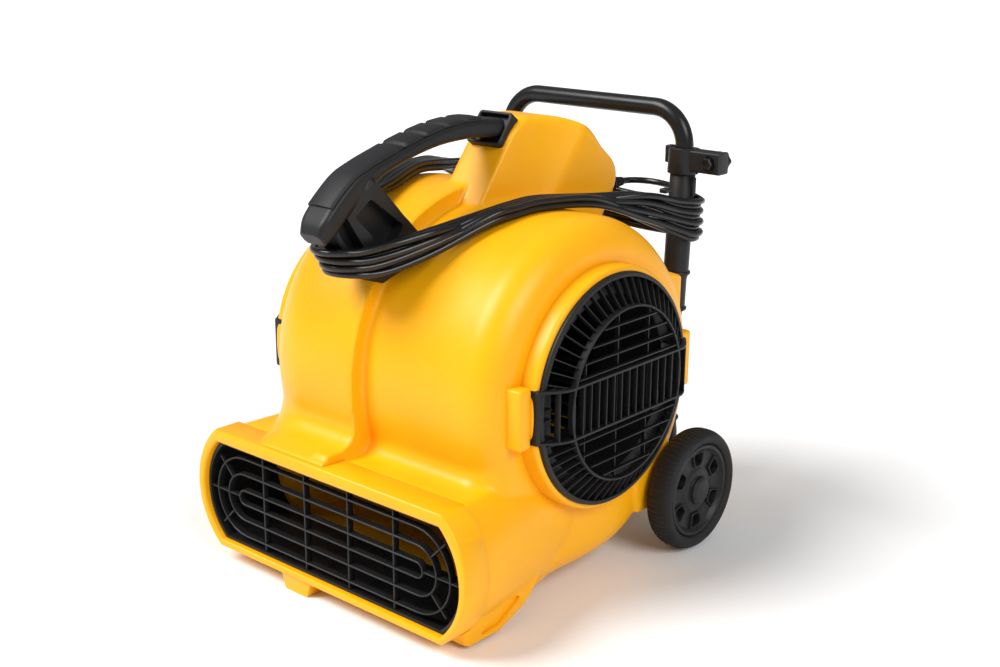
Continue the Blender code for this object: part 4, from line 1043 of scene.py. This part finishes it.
def make_guard(side):
    name = NAMES[side]
    foot = RING_X + GAP
    r, x = GUARD_R, GUARD_RIM_X
    rim = [(r - 0.8, x), (r - 0.1, x - 1), (r, x - 2.4), (r, foot), (r - 3.2, foot), (r - 3.2, x - 4),
           (r - 5.6, x - 2.6), (r - 5, x + 0.6), (r - 2.4, x + 0.5)]
    r, x = GUARD_INNER_R, GUARD_TOP_X
    inner = [(r + 1.6, x - 1.4), (r + 1, x - 0.5), (r - 0.6, x - 0.3), (r - 1.2, x - 1),
             (r - 1.4, x - 8), (r + 1.6, x - 8)]
    parts = [ring_body(rim, side), ring_body(inner, side), bevelled(guard_slats(side), 0.3, 2),
             bevelled(level_bars(side), 0.35, 2), upright_ribs(side)]
    parts += band_frame(side)
    piece(together(*parts), f"inlet_guard_{name}", f"grille_{name}")


def make_inlet_cone(side):
    """Black inlet cone between the guard and the fan."""
    name = NAMES[side]
    profile = [(GUARD_R - 3.4, RING_X + 1.6), (110, RING_X + 1.6), (106.4, RING_X), (103, 170),
               (100, 140), (98.6, 108.5), (100, 108.5), (101.4, 140), (104.4, 170),
               (107.4, RING_X - 0.6), (110, RING_X + GAP), (GUARD_R - 3.4, RING_X + GAP)]
    piece(ring_body(profile, side, 96), f"inlet_cone_{name}")


# ---------------------------------------------------------------- fan

BLADES, BLADE_STEPS = 46, 4
FAN_INNER_R, FAN_OUTER_R, FAN_HALF = 99.6, 116, 106


def fan_blade(shape, turn):
    """Add one forward-curved blade to the mesh."""
    outer, inner = [], []
    for k in range(BLADE_STEPS + 1):
        t = k / BLADE_STEPS
        radius = 100.4 + 15 * t
        lean = math.radians(9 * t * t + 1 * t)
        x, y = radius * math.cos(lean), radius * math.sin(lean)
        outer.append((x, y + 0.55))
        inner.append((x, y - 0.55))
    section = outer + list(reversed(inner))
    rows = []
    for h in (-102, 102):
        rows.append([shape.verts.new(turn @ Vector((x * MM, y * MM, h * MM))) for x, y in section])
    shape.faces.new(rows[0])
    shape.faces.new(list(reversed(rows[1])))
    size = len(section)
    for j in range(size):
        n = (j + 1) % size
        shape.faces.new((rows[0][n], rows[0][j], rows[1][j], rows[1][n]))


def make_impeller():
    """Double-width squirrel cage: end rings, middle disc and blades."""
    parts = []
    for low, high in ((-FAN_HALF, 6 - FAN_HALF), (FAN_HALF - 6, FAN_HALF)):
        profile = [(FAN_INNER_R, high), (FAN_OUTER_R - 1, high), (FAN_OUTER_R, high - 1),
                   (FAN_OUTER_R, low + 1), (FAN_OUTER_R - 1, low), (FAN_INNER_R, low)]
        parts.append(turned(profile, 96, closed=True))
    disc = [(20.3, 9), (60, 9), (66, 9.6), (FAN_OUTER_R, 9.6), (FAN_OUTER_R, 5.6), (66, 5.6),
            (60, 5), (20.3, 5)]
    parts.append(turned(disc, 96, closed=True))
    shape = bmesh.new()
    for i in range(BLADES):
        fan_blade(shape, Matrix.Rotation(2 * math.pi * i / BLADES, 4, "Z"))
    parts.append(from_bmesh(shape))
    wheel = along_x(together(*parts), 1, FAN_Y, FAN_Z)
    piece(wheel, "fan_impeller", "impeller", body="fan_wheel")


# ---------------------------------------------------------------- carry handle

HANDLE_HALF, HANDLE_CORNER, NOSE_STEPS = 21, 7, 12
# (y, z) on the top and the matching place on the underside, from the box to the beak
ARCH = (((38, 521), (36, 499)), ((5, 524.5), (5, 502.5)), ((-26, 525), (-25, 503.5)),
        ((-65, 521), (-68, 501)), ((-106, 512), (-114, 492)),
        ((-145, 501), (-152, 480)), ((-175, 491.5), (-176, 467)),
        ((-199, 481), (-190, 457)), ((-226, 459), (-209, 441)),
        ((-242, 441), (-225, 424.5)), ((-248, 428), (-236.5, 414)))
PAD_HALF, PAD_DEEP = 18, 3
PAD_FROM, PAD_TO = 20, -16
GRIP_GROOVES = (-26, -58, -92, -124)


def arch_lines(spacing=2):
    """Matching smooth lines along the top and the underside."""
    top = smooth_route([(0, y, z) for (y, z), _ in ARCH], spacing)
    count = len(top) - 1
    under = smooth_route([(0, y, z) for _, (y, z) in ARCH], spacing)
    matched = []
    for i in range(count + 1):
        place = (len(under) - 1) * i / count
        k = min(int(place), len(under) - 2)
        matched.append(under[k].lerp(under[k + 1], place - k))
    return top, matched


def arch_ring(top, under, half, corner):
    """Rounded section between a top and an underside point."""
    height = (top - under).length
    up = (top - under).normalized()
    middle = (top + under) * 0.5
    corner = min(corner, height * 0.45, half * 0.9)
    ring = []
    wide, tall = half - corner, height / 2 - corner
    for cx, cy, start in ((wide, tall, 0), (-wide, tall, 90), (-wide, -tall, 180), (wide, -tall, 270)):
        for k in range(6):
            angle = math.radians(start + 18 * k)
            x, v = cx + corner * math.cos(angle), cy + corner * math.sin(angle)
            ring.append((x, middle.y + up.y * v, middle.z + up.z * v))
    return ring


def make_handle():
    """Arch and strut in one moulding, with pockets in the strut, and the soft pad let into the arch."""
    top, under = arch_lines()
    rings = []
    count = len(top)
    for i, (high, low) in enumerate(zip(top, under)):
        nose = smoothstep((i - count + NOSE_STEPS) / NOSE_STEPS)
        rings.append(arch_ring(high, low, HANDLE_HALF - 4 * nose, HANDLE_CORNER))
    arch = loft(rings)
    side_view = [(-176, 480), (-168, 472), (-109, 411), (-103, 398), (-99, 384), (-165, 364),
                 (-190, 372), (-204, 393), (-216, 412), (-222, 434), (-209, 446)]
    plan = [(26, -80), (25, -180), (9, -226), (-9, -226), (-25, -180), (-26, -80)]
    strut = combined(prism([rounded(side_view, 4)], "YZ", -30, 30), "INTERSECT",
                     [prism([rounded(plan, 6)], "XY", 340, 500)])
    body = moulded(together(arch, strut), *HANDLE_SKIN)
    rear_pocket = [(-181, 459), (-134, 424), (-150, 403), (-166, 403), (-199, 441)]
    front_pocket = [(-209, 444), (-188, 405), (-205, 405), (-216, 424), (-217, 436)]
    pockets = [side_prism(side, rounded(rear_pocket, 4), 11, 40) for side in (1, -1)]
    pockets += [side_prism(side, rounded(front_pocket, 3), 5, 40) for side in (1, -1)]
    pad_lines = list(zip(top, under))[PAD_FROM:PAD_TO]
    room = []
    for high, low in pad_lines:
        down = (low - high).normalized()
        a, b = high - down * 3, high + down * (PAD_DEEP + GAP)
        half = PAD_HALF + 1
        room.append([(half, a.y, a.z), (half, b.y, b.z), (-half, b.y, b.z), (-half, a.y, a.z)])
    body = cut(body, *pockets, loft(room), scroll_body(1, -GAP, -GAP), scroll_body(-1, -GAP, -GAP))
    piece(body, "carry_handle_body", "carry_handle", sharp=SHELL_SHARP)

    pad_rings = []
    for high, low in pad_lines:
        down = (low - high).normalized()
        near = min(abs(high.y - place) for place in GRIP_GROOVES)
        swell = smoothstep((near - 1.4) / 3.4)
        proud = -0.6 + 2.9 * swell
        wide = PAD_HALF + 0.8 * swell
        ring = []
        edge = 0.3 - proud * 0.6
        for x, v in ((wide - 1, PAD_DEEP), (wide, 0.8), (wide - 0.6, edge), (wide - 2.8, -proud),
                     (0, -proud - 0.6), (-wide + 2.8, -proud), (-wide + 0.6, edge), (-wide, 0.8),
                     (-wide + 1, PAD_DEEP)):
            place = high + down * v
            ring.append((x, place.y, place.z))
        pad_rings.append(ring)
    piece(loft(pad_rings), "handle_grip", "handle_grip_pad", slot="rubber", sharp=50)


def make_escutcheon():
    """Frame round the end of the handle on the nose of the box."""
    up = Vector((0, 0.6, 0.8))
    out = Vector((0, -0.8, 0.6))
    middle_z = 505.5
    centre = Vector((0, NOSE_S + BOX_LEAN * (middle_z - BOX_BASE_Z), middle_z))

    def outline(half_w, half_h, corner, shift):
        square = [(half_w, half_h), (-half_w, half_h), (-half_w, -half_h), (half_w, -half_h)]
        return [centre + Vector((u, 0, 0)) + up * v + out * shift for u, v in rounded(square, corner)]

    rows = [outline(25.5, 21.5, 5, -6), outline(25.5, 21.5, 5, 7.4), outline(24.6, 20.6, 4.6, 8.6),
            outline(22.8, 18.6, 4, 8.6), outline(22, 17.8, 3.6, 7.6), outline(21.4, 17.2, 3.6, 1),
            outline(2, 2, 0.5, 1), outline(2, 2, 0.5, -6)]
    piece(loft(rows, closed=True), "handle_frame", "handle_escutcheon")


# ---------------------------------------------------------------- trolley handle

def make_trolley():
    """U-shaped tube: both legs lean back, and each meets the top bar in a bend."""
    steps = 14
    path = []
    for side in (-1, 1):
        angles = [math.radians(90 * i / steps) for i in range(steps + 1)]
        leg = [(side * (POST_X - BEND_R + BEND_R * math.sin(a)), POST_TOP_Z - BEND_R * (1 - math.cos(a)))
               for a in angles]
        leg += [(side * POST_X, TUBE_BEND_LOW), (side * POST_X, TUBE_LOW)]
        path += leg[::side]
    places = [(x * MM, post_y(z) * MM, z * MM) for x, z in path]
    tube = welded(round_curve("tube", places, TUBE_R, 10))
    piece(tube, "trolley_handle_tube", "trolley_tube", body="trolley", slot="black_tube", sharp=60)


def bead(radius, proud, z, half=2.2):
    """Rounded rib of a turned profile."""
    return [(radius, z + half), (radius + proud * 0.8, z + half * 0.8), (radius + proud, z + half * 0.35),
            (radius + proud, z - half * 0.35), (radius + proud * 0.8, z - half * 0.8), (radius, z - half)]


def make_sleeve(side):
    name = NAMES[side]
    slim = SLEEVE_R - 1.5
    profile = [(SLEEVE_R - 0.6, SLEEVE_HIGH), (SLEEVE_R, SLEEVE_HIGH - 0.8)]
    profile += bead(SLEEVE_R, 2.3, 326) + [(slim, 318), (slim, 290)] + bead(slim, 2.2, 281)
    profile += [(slim, SLEEVE_LOW), (BORE_R, SLEEVE_LOW), (BORE_R, SLEEVE_HIGH)]
    sleeve = on_post(turned(profile, 56, closed=True), side)
    rib = bevelled(side_box(side, 150, 158, (226, 232), (422, 444)), 0.8)
    piece(together(sleeve, rib), f"sleeve_{name}", f"guide_sleeve_{name}",
          sharp=SHELL_SHARP)

    socket = [(0, SOCKET_LOW), (BORE_R, SOCKET_LOW), (BORE_R, SOCKET_HIGH), (slim, SOCKET_HIGH)]
    socket += bead(slim, 2.2, SOCKET_HIGH - 3)
    socket += [(slim, 132), (SLEEVE_R, 120), (SLEEVE_R, 61), (SLEEVE_R - 1, 60), (0, 60)]
    base = on_post(turned(socket, 56), side)
    piece(base, f"post_socket_{name}", f"lower_socket_{name}", sharp=SHELL_SHARP)


def knob_lobes(i, r, h):
    """Six finger hollows round the rim of the clamp knob."""
    return r - (1.6 * (0.5 - 0.5 * math.cos(i * math.pi / 5)) if r > 9 else 0)


def make_clamp(side):
    """Split clamp collar with ears, a hex screw in front and a lobed knob behind."""
    name = NAMES[side]
    x, y = side * CLAMP_SCREW_X, post_y(CLAMP_SCREW_Z)
    ring = [(19, CLAMP_HIGH - 1), (18, CLAMP_HIGH), (BORE_R, CLAMP_HIGH), (BORE_R, CLAMP_LOW),
            (18.4, CLAMP_LOW), (19, CLAMP_LOW + 0.8)]
    collar = baked(on_post(turned(ring, 56, closed=True), side))
    ear = rounded([(y - 11, 452), (y + 11, 452), (y + 11, 478), (y - 11, 478)], 3)
    ears = bevelled(side_prism(side, ear, POST_X + 14, CLAMP_SCREW_X + 14), 2.4, 3)
    lug = bevelled(side_box(side, POST_X - 24, POST_X - 15, (y - 6, y + 6), (459, 480)), 1.4)
    slit_low, slit_high = span(side, POST_X + 17, CLAMP_SCREW_X + 8)
    slit = box((slit_low, y - 1.2, 440), (slit_high, y + 1.2, 490))
    bore = rod((x, y - 30, CLAMP_SCREW_Z), (x, y + 30, CLAMP_SCREW_Z), 3.3)
    socket = rod((x, y - 14, CLAMP_SCREW_Z), (x, y - 9.2, CLAMP_SCREW_Z), 9.6, 6)
    collar = cut(join(collar, ears, lug, solver="EXACT"), slit, bore, socket, solver="EXACT")
    piece(collar, f"clamp_{name}", f"clamp_collar_{name}", sharp=SHELL_SHARP)

    head = [(0, -26.4), (3.4, -26.4), (3.8, -27.6), (6.6, -28), (8, -26.6), (8, -20.4),
            (3, -20.4), (3, 5), (2.7, 6), (0, 6)]
    bolt = along_y(turned(head, 6), x, y + 11, CLAMP_SCREW_Z)
    piece(bolt, f"clamp_screw_{name}", f"clamp_bolt_{name}", slot="black_tube", sharp=25)

    profile = [(0, 13), (7, 13), (10, 12.4), (12, 10.4), (12.4, 8), (12, 4), (8, 0.4),
               (3.3, 0.4), (3.3, 7), (0, 7)]
    knob = along_y(turned(profile, 60, radial=knob_lobes), x, y + 11, CLAMP_SCREW_Z)
    piece(knob, f"clamp_handwheel_{name}", f"clamp_knob_{name}", body=f"knob_{name}",
          sharp=SHELL_SHARP)


# ---------------------------------------------------------------- wheels

def tread(i, r, h):
    """Shallow cross ribs over the crown of the tyre."""
    crown = smoothstep((r - 70.6) / 2)
    rib = 0 if i % 4 < 2 else 1.1
    return r - rib * crown


def window_outline(angle, inner_r, outer_r, inner_half, outer_half):
    """Rounded trapezoid on a wheel's face, as (y, z)."""
    way = Vector((math.cos(angle), math.sin(angle)))
    across = Vector((-way.y, way.x))
    hub = Vector((WHEEL_Y, WHEEL_Z))
    corners = [hub + way * outer_r + across * outer_half, hub + way * outer_r - across * outer_half,
               hub + way * inner_r - across * inner_half, hub + way * inner_r + across * inner_half]
    return rounded([tuple(c) for c in corners], 4)


def make_wheel(side):
    """Ribbed tyre, six-windowed hub and its cap."""
    name = NAMES[side]
    body = f"wheel_{name}"
    out, back = WHEEL_OUT, WHEEL_IN
    half = [(HUB_R + 0.6, out - 5), (60, out - 2.6), (63, out - 0.8), (66, out), (68.8, out - 0.6),
            (70.8, out - 2.4), (72.6, out - 5), (74, out - 8.4), (74.8, out - 12)]
    other = [(r, out + back - h) for r, h in reversed(half)]
    tyre = turned(half + [(WHEEL_R, (out + back) * 0.5)] + other, 288, closed=True, radial=tread)
    tyre = along_x(tyre, side, WHEEL_Y, WHEEL_Z)
    piece(tyre, f"rubber_tyre_{name}", f"tyre_{name}", body=body, slot="tyre", sharp=28)

    profile = [(AXLE_R + GAP, 223), (17, 223), (18, 221.6), (25, 221), (28, 219.4),
               (31, 218), (47, 218), (49.6, 219.2), (51.6, 222.6), (53, 224), (56.6, 224),
               (HUB_R, 222.6), (HUB_R, 199.6), (56.6, 198), (50, 198.4), (47, 203), (25, 203),
               (22, WHEEL_IN), (AXLE_R + GAP, WHEEL_IN)]
    hub = baked(along_x(turned(profile, 96, closed=True), side, WHEEL_Y, WHEEL_Z))
    rim_rows = ((0, 216), (0, 220), (0.3, 221), (0.75, 221), (1, 220.2), (1, 204),
                (0.5, 204))
    holes, rims = [], []
    for i in range(6):
        angle = math.radians(60 * i + 30)
        holes.append(side_prism(side, window_outline(angle, 32, 47.4, 6.2, 10.6), 190, 240))
        outer = window_outline(angle, 30, 49.4, 8.2, 12.8)
        inner = window_outline(angle, 32.2, 47.2, 6.4, 10.4)
        rows = [[(side * x, y, z) for y, z in between(outer, inner, share)] for share, x in rim_rows]
        rims.append(loft(rows, closed=True))
    hub = together(cut(hub, *holes), *rims)
    piece(hub, f"hub_{name}", f"wheel_hub_{name}", body=body, sharp=35)

    profile = [(0, 228.2), (11, 228.2), (15, 227.4), (17.2, 225.6), (17.6, 223.2), (0, 223.2)]
    cap = along_x(turned(profile, 72), side, WHEEL_Y, WHEEL_Z)
    piece(cap, f"cap_{name}", f"hub_cap_{name}", body=body, sharp=35)


# ---------------------------------------------------------------- everything

CAD_LOOKS = {
    "black_plastic": ("control_panel", "speed_knob", "motor_bracket", "tube_end_cap_left",
                      "tube_end_cap_right"),
    "rubber": ("rubber_foot_left", "rubber_foot_right", "motor_isolator"),
    "steel": ("axle", "motor_shaft", "impeller_hub", "motor_cap_outer", "motor_cap_inner", "panel_screw_1",
              "panel_screw_2", "panel_screw_3", "panel_screw_4"),
    "grey_motor": ("motor_body", "run_capacitor", "switch_body"),
}


def dress_cad_nodes():
    """Give every CAD node that stays in view its procedural material."""
    for slot, names in CAD_LOOKS.items():
        for name in names:
            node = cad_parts[name]
            node.data.materials.clear()
            node.data.materials.append(LOOKS[slot])


def main():
    studio()
    flex, length = make_cord()
    on_cord = make_plug()
    on_cord + [make_strain_relief(), make_clip()]
    make_housing()
    make_collar()
    make_outlet_grille()
    make_painted_duct_shade()
    make_impeller()
    make_handle()
    make_escutcheon()
    make_trolley()
    for side in (1, -1):
        make_guard(side)
        make_inlet_cone(side)
        make_sleeve(side)
        make_clamp(side)
        make_wheel(side)
    dress_cad_nodes()


main()
